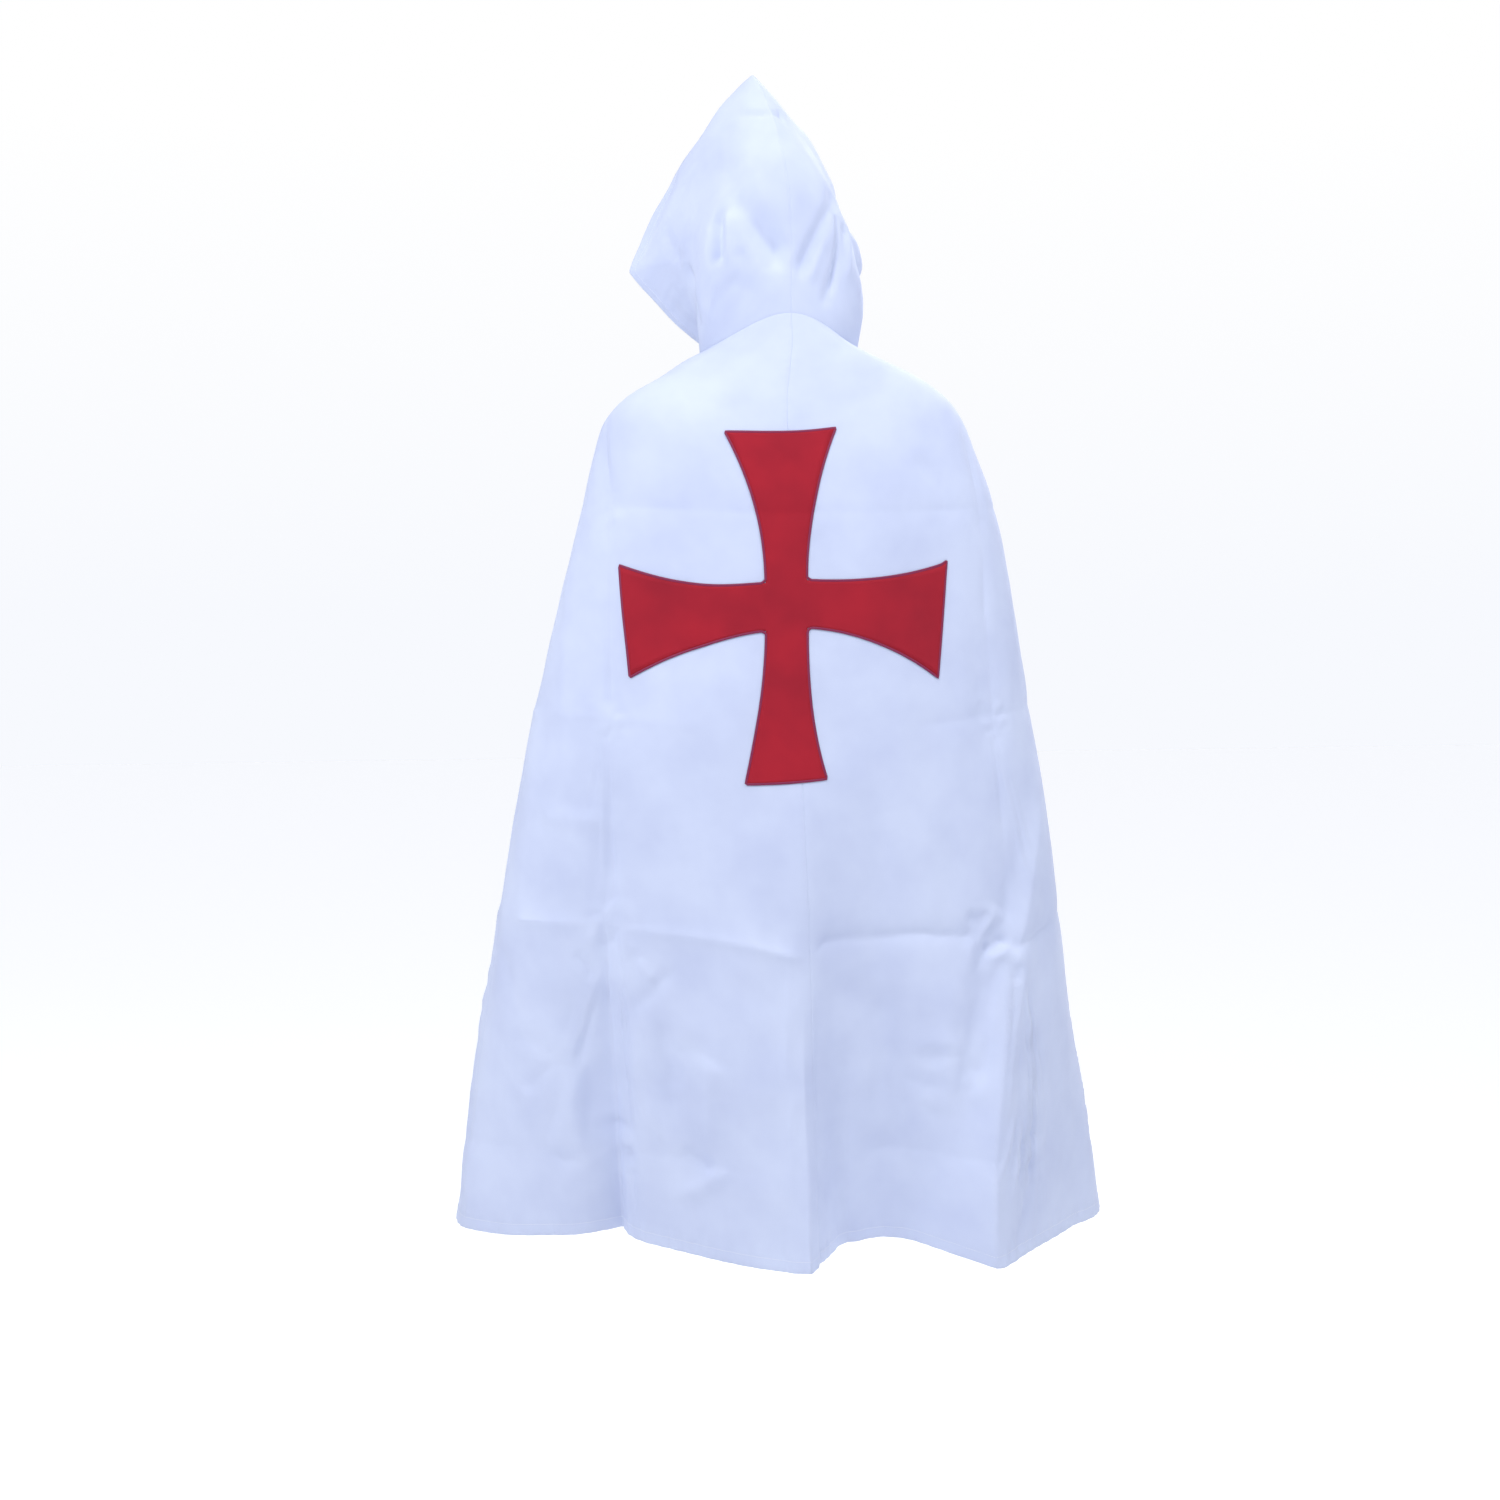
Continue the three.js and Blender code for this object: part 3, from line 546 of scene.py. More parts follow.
def addCloth(name, points, across, drop, turned, flip):  # a thin shell, thicker where it is turned in
    rows, columns = across.shape
    uv = np.stack([across.ravel(), drop.ravel()], 1)
    piece = addObject(name, points.reshape(-1, 3), gridFaces(rows, columns, flip), uv)
    group = piece.vertex_groups.new(name="turned")
    group.add(np.flatnonzero(turned.ravel()).tolist(), 1.0, "REPLACE")
    shell = piece.modifiers.new("shell", "SOLIDIFY")
    shell.thickness = cape["turnedTimes"] * cape["cloth"] * mm
    shell.offset = 0
    shell.vertex_group = "turned"
    shell.thickness_vertex_group = 1 / cape["turnedTimes"]
    broad = piece.modifiers.new("broadFaces", "WEIGHTED_NORMAL")  # or the rims would darken the seams
    broad.weight = 100
    piece.data.materials.append(whiteCotton)
    return piece


def lineAt(values, toEdge, level):  # in each row, the values at a distance from the row's end
    rows = [[np.interp(level, gap[::-1], row[::-1, k]) for k in range(3)] for gap, row in zip(toEdge, values)]
    return np.array(rows)


stitching = {
    "pitch": 3.6,
    "length": 3.0,
    "width": 0.8,
    "height": 0.5,
    "inset": 2.5,  # from the row to the inner edge of the cloth that is turned in
    "hem": 17,
    "frontEdge": 14,
    "faceEdge": 15,
}


def blockCorners(middle, reaches):  # the six corners of a lozenge, from its axes and its length along each
    return np.stack([middle + way * reach / 2 * axis for axis, reach in reaches for way in (1, -1)], -2)


def stitchRow(line, normals, lift):  # short stitches along a line, on both faces of the cloth
    run = np.concatenate([[0], np.cumsum(np.linalg.norm(np.diff(line, axis=0), axis=1))])
    places = np.arange(stitching["pitch"] / 2, run[-1] - 1, stitching["pitch"])
    centre, normal, ahead = (
        np.stack([np.interp(places, run, source[:, k]) for k in range(3)], 1)
        for source in (line, normals, np.gradient(line, axis=0))
    )
    ahead, normal = unit(ahead), unit(normal)
    axes = [ahead, np.cross(ahead, normal), normal]
    reaches = list(zip(axes, [stitching[size] for size in ("length", "width", "height")]))
    return np.concatenate([blockCorners(centre + normal * lift * face, reaches) for face in (1, -1)])


def edgeStitches(grids, toEdge, edge, part=slice(None)):  # a row beside an edge, from points and normals
    level = stitching[edge] - stitching["inset"]
    line, out = (lineAt(grid, toEdge, level)[part] for grid in grids)
    return stitchRow(line, out, turnedHalf)


def addStitches(name, blocks):
    upper = [(0, 2, 4), (2, 1, 4), (1, 3, 4), (3, 0, 4)]
    lozenge = np.array(upper + [(2, 0, 5), (1, 2, 5), (3, 1, 5), (0, 3, 5)])
    corners = np.concatenate(blocks)
    faces = (lozenge[None] + 6 * np.arange(len(corners))[:, None, None]).reshape(-1, 3).tolist()
    along = np.tile(np.array([1, -1, 0, 0, 0, 0]) * stitching["length"] / 2, len(corners))
    piece = addObject(name, corners.reshape(-1, 3), faces, np.stack([along, 0 * along], 1))
    piece.data.materials.append(whiteThread)
    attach(piece, "root")
    print("stitches", name, len(corners))


print("cape: tables ready, marks", len(cloth["packing"]) + len(cloth["wrinkles"]) + len(cloth["fans"]))


def hexLinear(code):  # an sRGB hex colour as linear red, green, blue and alpha
    parts = [int(code[i : i + 2], 16) / 255 for i in (1, 3, 5)]
    return [c / 12.92 if c <= 0.04045 else ((c + 0.055) / 1.055) ** 2.4 for c in parts] + [1.0]


def addNode(tree, kind, settings=(), links=()):  # a shader node with settings, and sockets linked into it
    node = tree.nodes.new("ShaderNode" + kind)
    for key, value in dict(settings).items():
        if isinstance(key, int) or key in node.inputs:
            node.inputs[key].default_value = value
        else:
            setattr(node, key, value)
    for key, socket in dict(links).items():
        tree.links.new(socket, node.inputs[key])
    return node


def blend(tree, share, low, high):  # a colour between two hex colours
    settings = {"data_type": "RGBA", 6: hexLinear(low), 7: hexLinear(high)}
    return addNode(tree, "Mix", settings, {0: share}).outputs[2]


def spread(tree, value, low, high):  # a value from 0 to 1 brought between two others
    return addNode(tree, "MapRange", {"To Min": low, "To Max": high}, {"Value": value}).outputs[0]


def surface(tree, settings, links=()):  # the main shader, joined to the material's output
    shader = addNode(tree, "BsdfPrincipled", settings, links)
    addNode(tree, "OutputMaterial", (), {"Surface": shader.outputs[0]})


def bandScale(pitch):  # the wave texture has 20 / (2 pi) bands to a metre at scale 1
    return 2 * math.pi / (20 * pitch * mm)


def newMaterial(name):
    material = bpy.data.materials.new(name)
    material.use_nodes = True
    tree = material.node_tree
    tree.nodes.clear()
    return material, tree


weaves = {
    # plain-woven cotton, matt and a little fuzzy: light spreads evenly and the edges of folds glow faintly;
    # real threads stand 0.45 mm apart and are drawn coarser so that they show at all
    "whiteWovenCotton": {"colour": "#CAD3EC", "shade": "#C0C9E5", "thread": 1.1, "depth": 0.10,
                         "roughness": 0.9, "sheen": 0.12, "sheenTint": "#FFFFFF"},
    # the same cloth dyed scarlet; its colour too is painted darker in the gaps between the yarns, as painted
    # shade
    "redWovenCotton": {"colour": "#A61A2C", "shade": "#92172A", "thread": 1.0, "depth": 0.11,
                       "roughness": 0.88, "sheen": 0.06, "sheenTint": "#FF7080"},
}


def grainOf(tree):  # the place on the cloth, in metres, for patterns that follow it
    return {"Vector": addNode(tree, "UVMap", {"uv_map": "grain"}).outputs[0]}


def wovenCotton(name):
    facts = weaves[name]
    material, tree = newMaterial(name)
    grain = grainOf(tree)
    slub = addNode(tree, "TexNoise", {"Scale": 420.0, "Detail": 2.0, "Roughness": 0.6}, grain)
    wave = {"wave_type": "BANDS", "Scale": bandScale(facts["thread"]), "Distortion": 0.8, "Detail": 1.0}
    bands = [addNode(tree, "TexWave", {**wave, "bands_direction": way}, grain) for way in ("X", "Y")]
    bandLinks = {k: band.outputs["Fac"] for k, band in enumerate(bands)}
    weave = addNode(tree, "Math", {"operation": "MAXIMUM"}, bandLinks)
    yarnLinks = {0: slub.outputs["Fac"], 2: weave.outputs[0]}
    yarns = addNode(tree, "Math", {"operation": "MULTIPLY_ADD", 1: 0.7}, yarnLinks)
    clouds = addNode(tree, "TexNoise", {"Scale": 9.0, "Detail": 3.0, "Roughness": 0.55}, grain)
    patches = addNode(tree, "MapRange", {"From Min": 0.35, "From Max": 0.7}, {"Value": clouds.outputs["Fac"]})
    tone = blend(tree, patches.outputs[0], facts["colour"], facts["shade"])
    # painted shade: the colour is up to 5% darker where the weave is low, in the gaps between the yarns where
    # the bump is lowest
    paintedGapShade = spread(tree, weave.outputs[0], 0.95, 1.0)
    multiply = {"data_type": "RGBA", "blend_type": "MULTIPLY", 0: 1.0}
    colour = addNode(tree, "Mix", multiply, {6: tone, 7: paintedGapShade})
    relief = {"Strength": 0.5, "Distance": facts["depth"] * mm}
    bump = addNode(tree, "Bump", relief, {"Height": yarns.outputs[0]})
    worn = spread(tree, clouds.outputs["Fac"], facts["roughness"] - 0.05, facts["roughness"] + 0.06)
    settings = {
        "IOR": 1.53,
        "Specular IOR Level": 0.25,
        "Sheen Weight": facts["sheen"],
        "Sheen Roughness": 0.5,
        "Sheen Tint": hexLinear(facts["sheenTint"]),
    }
    surface(tree, settings, {"Base Color": colour.outputs[2], "Roughness": worn, "Normal": bump.outputs[0]})
    return material


threads = {
    # spun polyester thread, tighter and a little shinier than the cloth
    "whiteSpunThread": {"colour": "#F1F3FA", "shade": "#D5DAEA", "pitch": 0.9, "roughness": 0.6},
    # the cross's rim in shiny rayon, sewn close: a smooth dark line round the matt red
    "wineSatinStitch": {"colour": "#90234A", "shade": "#692048", "pitch": 1.3, "roughness": 0.5},
}


def spunThread(name):
    facts = threads[name]
    material, tree = newMaterial(name)
    wave = {"bands_direction": "X", "Scale": bandScale(facts["pitch"]), "Distortion": 1.2}
    strands = addNode(tree, "TexWave", wave, grainOf(tree)).outputs["Fac"]
    # painted shade: the thread takes its shade colour in the grooves between the strands, where the bump is
    # lowest
    tone = blend(tree, strands, facts["shade"], facts["colour"])
    bump = addNode(tree, "Bump", {"Strength": 0.6, "Distance": 0.2 * mm}, {"Height": strands})
    settings = {"IOR": 1.55, "Roughness": facts["roughness"], "Specular IOR Level": 0.3}
    surface(tree, settings, {"Base Color": tone, "Normal": bump.outputs[0]})
    return material


whiteCotton = wovenCotton("whiteWovenCotton")
redCotton = wovenCotton("redWovenCotton")
whiteThread = spunThread("whiteSpunThread")
wineThread = spunThread("wineSatinStitch")


# The four panels of the cape
panels = {
    "backLeft": {"side": -1, "front": False, "node": "back_left", "columns": 150, "rows": 300,
                 "cut": (0.66, 1.29), "area": 0.54},
    "backRight": {"side": 1, "front": False, "node": "back_right", "columns": 156, "rows": 300,
                  "cut": (0.75, 1.29), "area": 0.63},
    "frontLeft": {"side": -1, "front": True, "node": "front_left", "columns": 96, "rows": 190,
                  "cut": (0.6, 1.29), "area": 0.53},
    "frontRight": {"side": 1, "front": True, "node": "front_right", "columns": 96, "rows": 190,
                   "cut": (0.6, 1.29), "area": 0.52},
}
clothPieces, hemStitches = {}, []
for name, panel in panels.items():
    points, across, drop, turned, toEdge = panelGrid(panel)
    normals = gridNormals(points, points * np.array([1, 1, 0]))
    downward = points.swapaxes(0, 1), normals.swapaxes(0, 1)
    hemStitches.append(edgeStitches(downward, (cape["length"] - drop).T, "hem"))
    if panel["front"]:
        hemStitches.append(edgeStitches((points, normals), toEdge, "frontEdge", slice(2, None)))
    piece = addCloth(name, points, across, drop, turned, panel["side"] > 0)
    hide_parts(panel["node"])
    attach(piece, "root")
    clothPieces[name] = piece
    print("panel", name, points.shape)
addStitches("hemStitches", hemStitches)


# The hood: how its cloth is drawn in and stands out, as height, half width and points (across, forward, up)
hoodMarks = [
    (-8.5, 9, (-94, -30, 146), (-99, -39, 112), (-100, -48, 60)),
    (4.2, 6, (-82, -44, 152), (-85, -51, 112), (-86, -58, 62)),
    (-3.4, 9, (69, -52, 166), (48, -70, 133), (24, -77, 87), (10, -81, 52)),
    (-4.6, 5, (78, -52, 148), (74, -58, 132), (65, -68, 68), (56, -73, 20)),
    (3.5, 9, (58, -64, 128), (36, -76, 80), (22, -80, 36)),
    (3.6, 7, (96, -34, 150), (92, -46, 96), (80, -58, 40)),
    (-9.5, 17, (-74, -40, 178), (-43, -73, 116), (-4, -80, 70)),
    (3.4, 7, (-98, -49, 61), (-108, -32, -17)),
    (-3.4, 10, (-133, 113, 149), (-128, 80, 112), (-121, 54, 78)),
    (-2.6, 8, (-121, 50, 77), (-118, 20, 30), (-116, -5, -13)),
    (-3.4, 12, (-76, -66, 96), (-64, -74, 60), (-56, -76, 12)),
    (2.4, 14, (-30, -80, 70), (-20, -82, 40), (-16, -82, 10)),
    (-3.4, 10, (118, 30, 100), (112, -10, 60), (100, -36, 10)),
    (3, 11, (128, 70, 140), (126, 40, 90), (116, 0, 30)),
    (-3.4, 6, (104, 30, 162), (92, -8, 158), (84, -36, 152)),
    (-2.4, 12, (96, 60, 190), (88, 20, 170), (70, -30, 172)),
    (2, 14, (-60, 60, 290), (-54, 20, 250), (-60, -10, 210)),
    (-1.8, 12, (36, 30, 300), (44, 0, 260), (52, -30, 220)),
    (-3.4, 4, (-46, 22, 290), (-13, -22, 288), (7, -26, 288), (24, -14, 288)),
    (-3, 5, (20, -10, 299), (18, -20, 286), (16, -30, 274)),
    (-4, 18, (-88, -56, 52), (-66, -70, 34), (-60, -72, -10)),
    (-3, 12, (130, 120, 60), (112, 90, 0), (96, 60, -40)),
    (-3, 12, (-132, 124, 60), (-114, 92, 0), (-98, 60, -40)),
]
hoodHalves = {
    "hoodLeft": {"side": -1, "node": "hood_left", "cut": (0.36, 0.46), "area": 0.114},
    "hoodRight": {"side": 1, "node": "hood_right", "cut": (0.36, 0.46), "area": 0.119},
}


def hoodGrid(side):
    along = np.linspace(0, 1, hood["gridRows"])[:, None]
    across = np.linspace(0, 1, hood["gridColumns"])[None, :]
    across, along = np.broadcast_arrays(across, along)
    raw = hoodPoint(side, across, along)
    normals = gridNormals(raw, raw - np.array(hood["inside"]))
    normals[:, 0, 0] = 0
    height = -troughDepth(raw) * smoothStep(across, 0, hood["crownFade"])
    for high, half, *line in hoodMarks:
        d, part = polylineDistance(raw, line, True)
        height = height + high * np.exp(-((d / half) ** 2)) * endFade(part, cloth["hoodFade"])
    u, v = side * rowDistance(raw), rowDistance(raw.swapaxes(0, 1)).swapaxes(0, 1)
    for seed, (cell, high) in enumerate(hood["waves"]):
        height = height + high * latticeNoise(u, v, cell, cell, 210 + seed)
    toEdge = v[-1:] - v
    height = height * smoothStep(along, 0, hood["neckFade"]) * smoothStep(toEdge, *hood["edgeFade"])
    height = height + (seamMark(np.abs(u), v) + seamMark(v, u)) * hood["seamShare"]
    points = poseHood(raw + normals * height[..., None])
    return points, u, v, toEdge < stitching["faceEdge"], toEdge


faceStitches = []
for name, half in hoodHalves.items():
    points, u, v, turned, toEdge = hoodGrid(half["side"])
    normals = gridNormals(points, points - np.array(hood["inside"]))
    downward = points.swapaxes(0, 1), normals.swapaxes(0, 1)
    faceStitches.append(edgeStitches(downward, toEdge.T, "faceEdge", slice(-3)))
    piece = addCloth(name, points, u, v, turned, half["side"] > 0)
    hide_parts(half["node"])
    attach(piece, "root")
    clothPieces[name] = piece
    print("hood half", name, points.shape)
addStitches("faceStitches", faceStitches)


# The red cross, in sizes on the flat cloth from its centre; each arm widens as a parabola to its end
cross = {
    "centreDrop": 418,
    "waistAcross": 28,
    "waistUp": 32,
    "armLength": 236,
    "leftLength": 221,
    "rightLength": 225,
    "endTop": 77,
    "endBottom": 55,
    "endLeft": 76,
    "endRight": 80,
    "lean": (10, 10, 21),  # how far left of the seam it stands: at its middle, its top and its foot
    "tilt": 0.1,  # how much higher it is sewn for each millimetre to the right
    # how far down each place right of its middle is sewn
    "sag": [(-231, 17), (-115, 11), (-40, 2), (0, 0), (40, 1), (110, 17), (225, 54)],
    "sagEnds": (90, 180),  # how far up and down the sag fades
    "leftSlant": 8,  # how much further out the upper corner of an end stands than its middle
    "rightSlant": 9,
    "lift": 1.3,
    "thickness": 0.7,
    "stepsAlong": 44,
    "stepsAcross": 14,
    "borderWidth": 3.4,
    "borderHeight": 0.9,
    "borderLift": 0.25,
}
# the distance along the cloth from the centre back seam to each of a row of angles, at many falls
arcFalls = np.linspace(0.08, 0.62, 109)
arcAngles = np.linspace(-95, 95, 381)
arcRows = capePoint(arcAngles[None, :], arcFalls[:, None])
arcLengths = rowDistance(arcRows)
seamRuns = [np.interp(seamAngle(f), arcAngles, row) for f, row in zip(arcFalls, arcLengths)]
arcLengths -= np.array(seamRuns)[:, None]


def clothAngle(across, drop):  # the angle at a place on the cloth
    rowAt = (drop / cape["length"] - arcFalls[0]) / (arcFalls[1] - arcFalls[0])
    angles = np.empty(across.shape)
    for k in range(len(across)):
        i = int(rowAt[k])
        low = np.interp(across[k], arcLengths[i], arcAngles)
        high = np.interp(across[k], arcLengths[i + 1], arcAngles)
        angles[k] = low + (high - low) * (rowAt[k] - i)
    return angles


def onBack(across, drop, lift):  # points that lie on the marked cloth of the back, lifted off it
    angle, fall = clothAngle(across, drop), drop / cape["length"]
    height = marksHeight(across, drop) + lift
    return capePoint(angle, fall) + outNormal(angle, fall) * height[..., None]


def crossPlace(right, up):
    right, up = np.asarray(right, float), np.asarray(up, float)
    middle, top, foot = cross["lean"]
    lean = middle + (np.where(up > 0, top, foot) - middle) * smoothStep(np.abs(up), 0, cross["armLength"])
    sag = tableCurve(cross["sag"], 1, right) * (1 - smoothStep(np.abs(up), *cross["sagEnds"]))
    return right - lean, cross["centreDrop"] - up - cross["tilt"] * right + sag


# where each arm starts, half its waist, its length, half its end, the slant of its end, and how it is turned
waistX, waistY, arm = cross["waistAcross"], cross["waistUp"], cross["armLength"]
crossArms = [
    (waistY, waistX, arm, cross["endTop"], 0, lambda x, y: (y, x)),
    (waistX, waistY, cross["rightLength"], cross["endRight"], -cross["rightSlant"], lambda x, y: (x, -y)),
    (waistY, waistX, arm, cross["endBottom"], 0, lambda x, y: (-y, -x)),
    (waistX, waistY, cross["leftLength"], cross["endLeft"], cross["leftSlant"], lambda x, y: (-x, y)),
]
corners, crossIndex, crossFaces = [], {}, []


def crossCorner(right, up):
    key = (round(right, 3), round(up, 3))
    if key not in crossIndex:
        crossIndex[key] = len(corners)
        corners.append((right, up))
    return crossIndex[key]


def crossStrip(steps, place):
    for i in range(steps):
        for j in range(cross["stepsAcross"]):
            quad = [place(i, j), place(i + 1, j), place(i + 1, j + 1), place(i, j + 1)]
            quad = [crossCorner(*corner) for corner in quad]
            (x0, y0), (x1, y1), (x2, y2) = (corners[k] for k in quad[:3])
            facing = (x1 - x0) * (y2 - y0) - (y1 - y0) * (x2 - x0)
            crossFaces.append(quad if facing > 0 else quad[::-1])


def acrossShare(j):
    return 2 * j / cross["stepsAcross"] - 1


def armPlace(row, i, j):
    start, waist, length, end, slant, turn = row
    part, share = i / cross["stepsAlong"], acrossShare(j)
    reach = start + (length + slant * share - start) * part
    return turn(reach, (waist + (end - waist) * part**2) * share)


crossStrip(cross["stepsAcross"], lambda i, j: (waistX * acrossShare(i), waistY * acrossShare(j)))
crossOutline, last = [], cross["stepsAlong"]
for row in crossArms:
    crossStrip(last, lambda i, j: armPlace(row, i, j))
    crossOutline += [armPlace(row, i, 0) for i in range(1, last)]
    crossOutline += [armPlace(row, last, j) for j in range(cross["stepsAcross"] + 1)]
    crossOutline += [armPlace(row, i, cross["stepsAcross"]) for i in range(last - 1, 0, -1)]
corners = np.array(corners)
crossAcross, crossDrop = crossPlace(corners[:, 0], corners[:, 1])
crossPoints = onBack(crossAcross, crossDrop, cross["lift"])
crossPiece = addObject("redCross", crossPoints, crossFaces, np.stack([crossAcross, crossDrop], 1))
shell = crossPiece.modifiers.new("shell", "SOLIDIFY")
shell.thickness = cross["thickness"] * mm
shell.offset = 0
crossPiece.data.materials.append(redCotton)
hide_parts("cross")
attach(crossPiece, "root")
print("cross", len(corners), "points")


def resample(points, spacing):  # points at even distances along a closed line
    closed = np.vstack([points, points[:1]])
    run = np.concatenate([[0], np.cumsum(np.linalg.norm(np.diff(closed, axis=0), axis=1))])
    count = int(run[-1] / spacing)
    places = np.arange(count) * run[-1] / count
    return np.stack([np.interp(places, run, closed[:, k]) for k in range(points.shape[1])], 1), places


borderSides = 8


def addBorder(name, outline, width, height, onCloth, material):  # a band of stitches along a closed line
    line, run = resample(np.array(outline), 1.2 * width)
    along = unit(np.roll(line, -1, 0) - np.roll(line, 1, 0))
    aside = np.stack([-along[:, 1], along[:, 0]], 1)
    rows, uvs, faces, count = [], [], [], len(line)
    for k in range(borderSides):
        turn = 2 * math.pi * k / borderSides
        place = line + aside * math.cos(turn) * width / 2
        rows.append(onCloth(place[:, 0], place[:, 1], math.sin(turn) * height / 2))
        uvs.append(np.stack([run, np.full(count, k * 1.0)], 1))
        here, up = k * count, (k + 1) % borderSides * count
        for i in range(count):
            ahead = (i + 1) % count
            faces.append([here + i, here + ahead, up + ahead, up + i])
    piece = addObject(name, np.concatenate(rows), faces, np.concatenate(uvs))
    piece.data.materials.append(material)
    return piece


def onCross(right, up, lift):
    return onBack(*crossPlace(right, up), lift + cross["lift"] + cross["borderLift"])


borderSizes = cross["borderWidth"], cross["borderHeight"]
border = addBorder("crossStitching", crossOutline, *borderSizes, onCross, wineThread)
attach(border, "root")


# The neck button, sewn on through four holes
button = {
    "thickness": 3,
    "holeOffset": 2.8,
    "drop": 24,
    "neckRadius": 84,
    "stand": 1.3,  # from the middle of the cloth to the button's back
    "strands": (-0.45, 0, 0.45),
    "strandWidth": 0.5,
    "strandHeight": 0.9,
}
buttonhole = {"middle": -9, "half": 12, "round": 2, "width": 1.7, "height": 0.5, "slit": 1.0}


def castPolyester():  # cast polyester, cut and polished: milky, with a soft shine
    material, tree = newMaterial("castPolyester")
    place = {"Vector": addNode(tree, "TexCoord").outputs["Object"]}
    milk = addNode(tree, "TexNoise", {"Scale": 260.0, "Detail": 3.0}, place).outputs["Fac"]
    tone = blend(tree, milk, "#F0EEE6", "#DAD6C8")
    surface(tree, {"IOR": 1.56}, {"Base Color": tone, "Roughness": spread(tree, milk, 0.22, 0.34)})
    return material


polyester = castPolyester()
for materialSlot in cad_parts["neck_button"].material_slots:
    materialSlot.material = polyester


def onFront(right, up, lift):  # points on the left front beside the button, lifted off the turned cloth
    angle = -180 - np.degrees(np.asarray(right) / button["neckRadius"])
    fall = (button["drop"] - np.asarray(up)) / cape["length"]
    away = (np.asarray(lift) + turnedHalf)[..., None]
    return capePoint(angle, fall, True) + outNormal(angle, fall, True) * away


holeTurns = np.linspace(0, 2 * math.pi, 33)[:-1]
holeEnds = buttonhole["middle"] + np.sign(np.cos(holeTurns)) * (buttonhole["half"] - buttonhole["round"])
holeAcross = holeEnds + buttonhole["round"] * np.cos(holeTurns)
holeOutline = np.stack([holeAcross, buttonhole["slit"] * np.sin(holeTurns)], 1)
holeSizes = buttonhole["width"], buttonhole["height"]
holeBorder = addBorder("buttonholeStitching", holeOutline, *holeSizes, onFront, whiteThread)
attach(holeBorder, "root")

facing = onFront(0.0, 0.0, 1.0) - onFront(0.0, 0.0, 0.0)
halfway = facing + np.array([0, 0, 1])
buttonRight = np.array([1, 0, 0]) - facing[0] / (1 + facing[2]) * halfway
buttonUp = np.array([0, 1, 0]) - facing[1] / (1 + facing[2]) * halfway
buttonFace = capePoint(-180.0, button["drop"] / cape["length"], True)
buttonFace = buttonFace + facing * (button["stand"] + button["thickness"])
strandLength = 2 * math.sqrt(2) * button["holeOffset"] + 1.2
strandBlocks = []
for slant, lift in ((1, 0.1), (-1, 0.3)):  # two crossed bars of three strands each
    along = (buttonRight + slant * buttonUp) / math.sqrt(2)
    beside = np.cross(facing, along)
    reaches = [(along, strandLength), (beside, button["strandWidth"]), (facing, button["strandHeight"])]
    for offset in button["strands"]:
        middle = buttonFace + beside * offset + facing * lift
        strandBlocks.append(blockCorners(middle, reaches)[None])
addStitches("buttonThread", strandBlocks)


# Camera, floor and light
view = {
    "distance": 3.0,  # metres and degrees
    "turn": 12,
    "height": -0.4128,
    "sensor": 36,
    "focal": 2113,  # from here on, pixels of the photo
    "image": 1500,
    "axisX": 778.5,
    "levelY": 612,
}

camera = bpy.data.objects.new("camera", bpy.data.cameras.new("camera"))
bpy.context.scene.collection.objects.link(camera)
turn = math.radians(view["turn"])
camera.location = (-view["distance"] * math.sin(turn), -view["distance"] * math.cos(turn), view["height"])
camera.rotation_euler = (math.pi / 2, 0, -turn)
camera.data.sensor_width = view["sensor"]
camera.data.lens = view["sensor"] * view["focal"] / view["image"]
camera.data.shift_x = (view["image"] / 2 - view["axisX"]) / view["image"]
camera.data.shift_y = (view["levelY"] - view["image"] / 2) / view["image"]
bpy.context.scene.camera = camera

ground = {
    "half": 20000,  # millimetres
    "drop": 2000,
    "colour": "#FBFCFF",
    "roughness": 0.95,
    "glow": "#FFFCF0",  # it glows a little, so that it is as white as the photo's ground
    "glowStrength": 0.175,
}
square = np.array([(-1, -1), (1, -1), (1, 1), (-1, 1)]) * ground["half"]
floor = addObject("floor", [(x, y, -ground["drop"]) for x, y in square], [[0, 1, 2, 3]])
floorMaterial, tree = newMaterial("paleStudioPaper")  # matt paper: no shine and hardly any shadow
paper = {
    "Base Color": hexLinear(ground["colour"]),
    "Roughness": ground["roughness"],
    "Emission Color": hexLinear(ground["glow"]),
    "Emission Strength": ground["glowStrength"],
}
surface(tree, paper)
floor.data.materials.append(floorMaterial)

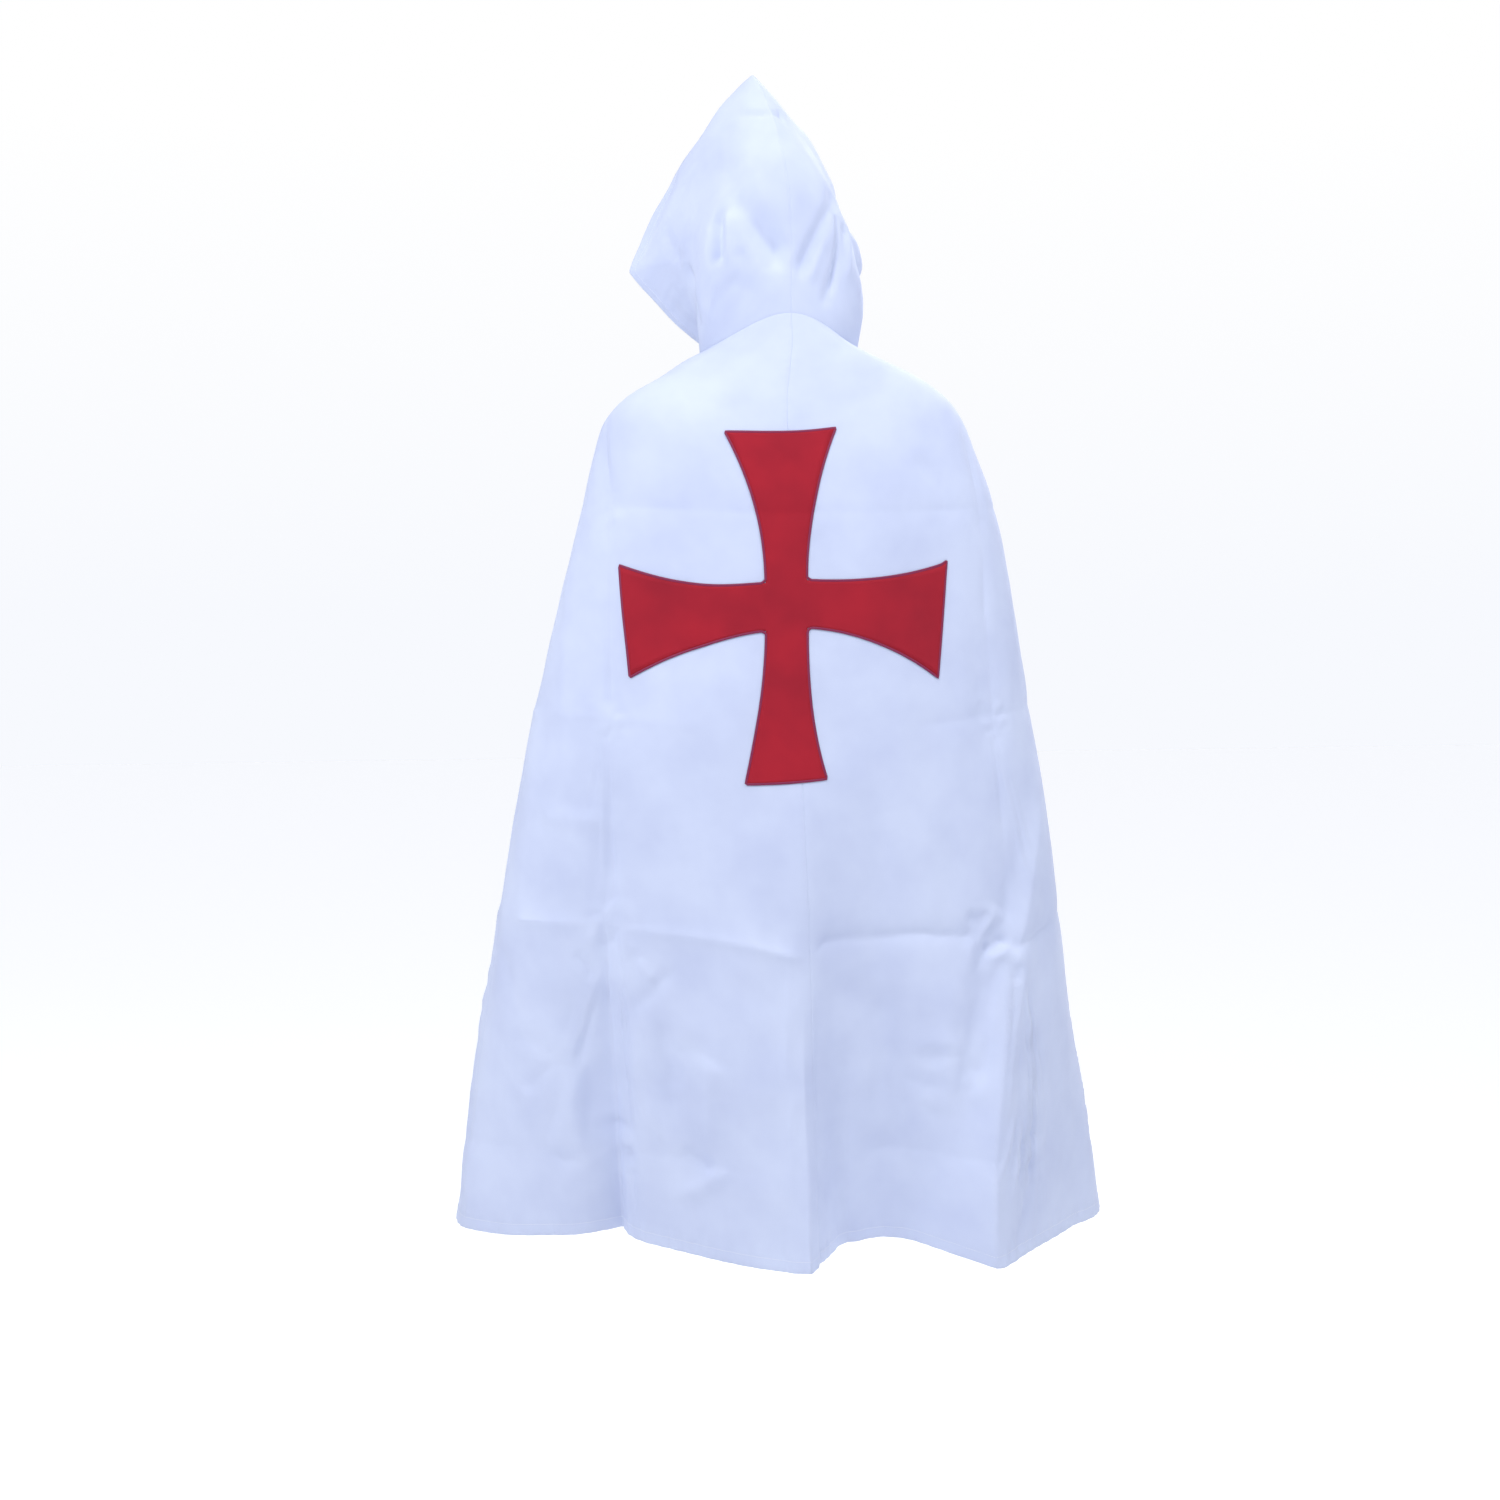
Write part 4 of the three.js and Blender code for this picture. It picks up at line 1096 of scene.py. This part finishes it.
light = {
    "skyStrength": 0.31,
    "skyColour": "#D6E3FF",
    "backdrop": "#FFFFFF",  # overhead, fading to the floor's own tone at the horizon
    "horizon": "#F7F9FE",
    "fade": 0.22,
    # name, kind, place, aim, width in degrees or metres, strength or watts, colour
    "lamps": [
        ("ceiling", "SUN", (0, -0.1, 1), (0, 0, 0), 70, 1.9, "#FFFCF6"),
        ("windowSoftbox", "AREA", (-1.7, -1.8, 1.85), (0, -0.1, -0.3), 0.9, 44, "#FFFFFF"),
        ("leftSoftbox", "AREA", (-2.4, -0.5, 0.7), (0, -0.1, -0.1), 1.0, 11, "#FFFFFF"),
        ("rightSoftbox", "AREA", (1.6, -1.2, 1.5), (0, -0.1, 0.1), 1.0, 25, "#FFFFFF"),
        ("farSoftbox", "AREA", (1.3, 1.7, 1.0), (0, 0.1, -0.3), 0.8, 24, "#FFFFFF"),
    ],
}
world = bpy.data.worlds.new("studio")
bpy.context.scene.world = world
world.use_nodes = True
tree = world.node_tree
tree.nodes.clear()
skySettings = {"Color": hexLinear(light["skyColour"]), "Strength": light["skyStrength"]}
sky = addNode(tree, "Background", skySettings)
direction = addNode(tree, "TexCoord")
rise = addNode(tree, "SeparateXYZ", (), {0: direction.outputs["Generated"]})
fade = addNode(tree, "MapRange", {"From Min": 0.0, "From Max": light["fade"]}, {"Value": rise.outputs[2]})
wall = blend(tree, fade.outputs[0], light["horizon"], light["backdrop"])
backdrop = addNode(tree, "Background", {"Strength": 1.0}, {"Color": wall})
seen = addNode(tree, "LightPath").outputs["Is Camera Ray"]
either = addNode(tree, "MixShader", (), {0: seen, 1: sky.outputs[0], 2: backdrop.outputs[0]})
addNode(tree, "OutputWorld", (), {"Surface": either.outputs[0]})
for name, kind, place, aim, width, power, colour in light["lamps"]:
    lamp = bpy.data.lights.new(name, kind)
    lamp.energy, lamp.color = power, hexLinear(colour)[:3]
    if kind == "SUN":
        lamp.angle = math.radians(width)
    else:
        lamp.shape, lamp.size = "DISK", width
    holder = bpy.data.objects.new(name, lamp)
    bpy.context.scene.collection.objects.link(holder)
    holder.location = place
    holder.visible_camera = False
    aimed = np.array(aim) - np.array(place)
    holder.rotation_euler = (
        math.acos(-aimed[2] / np.linalg.norm(aimed)),
        0,
        math.atan2(aimed[1], aimed[0]) - math.pi / 2,
    )
bpy.context.scene.view_settings.view_transform = "Standard"
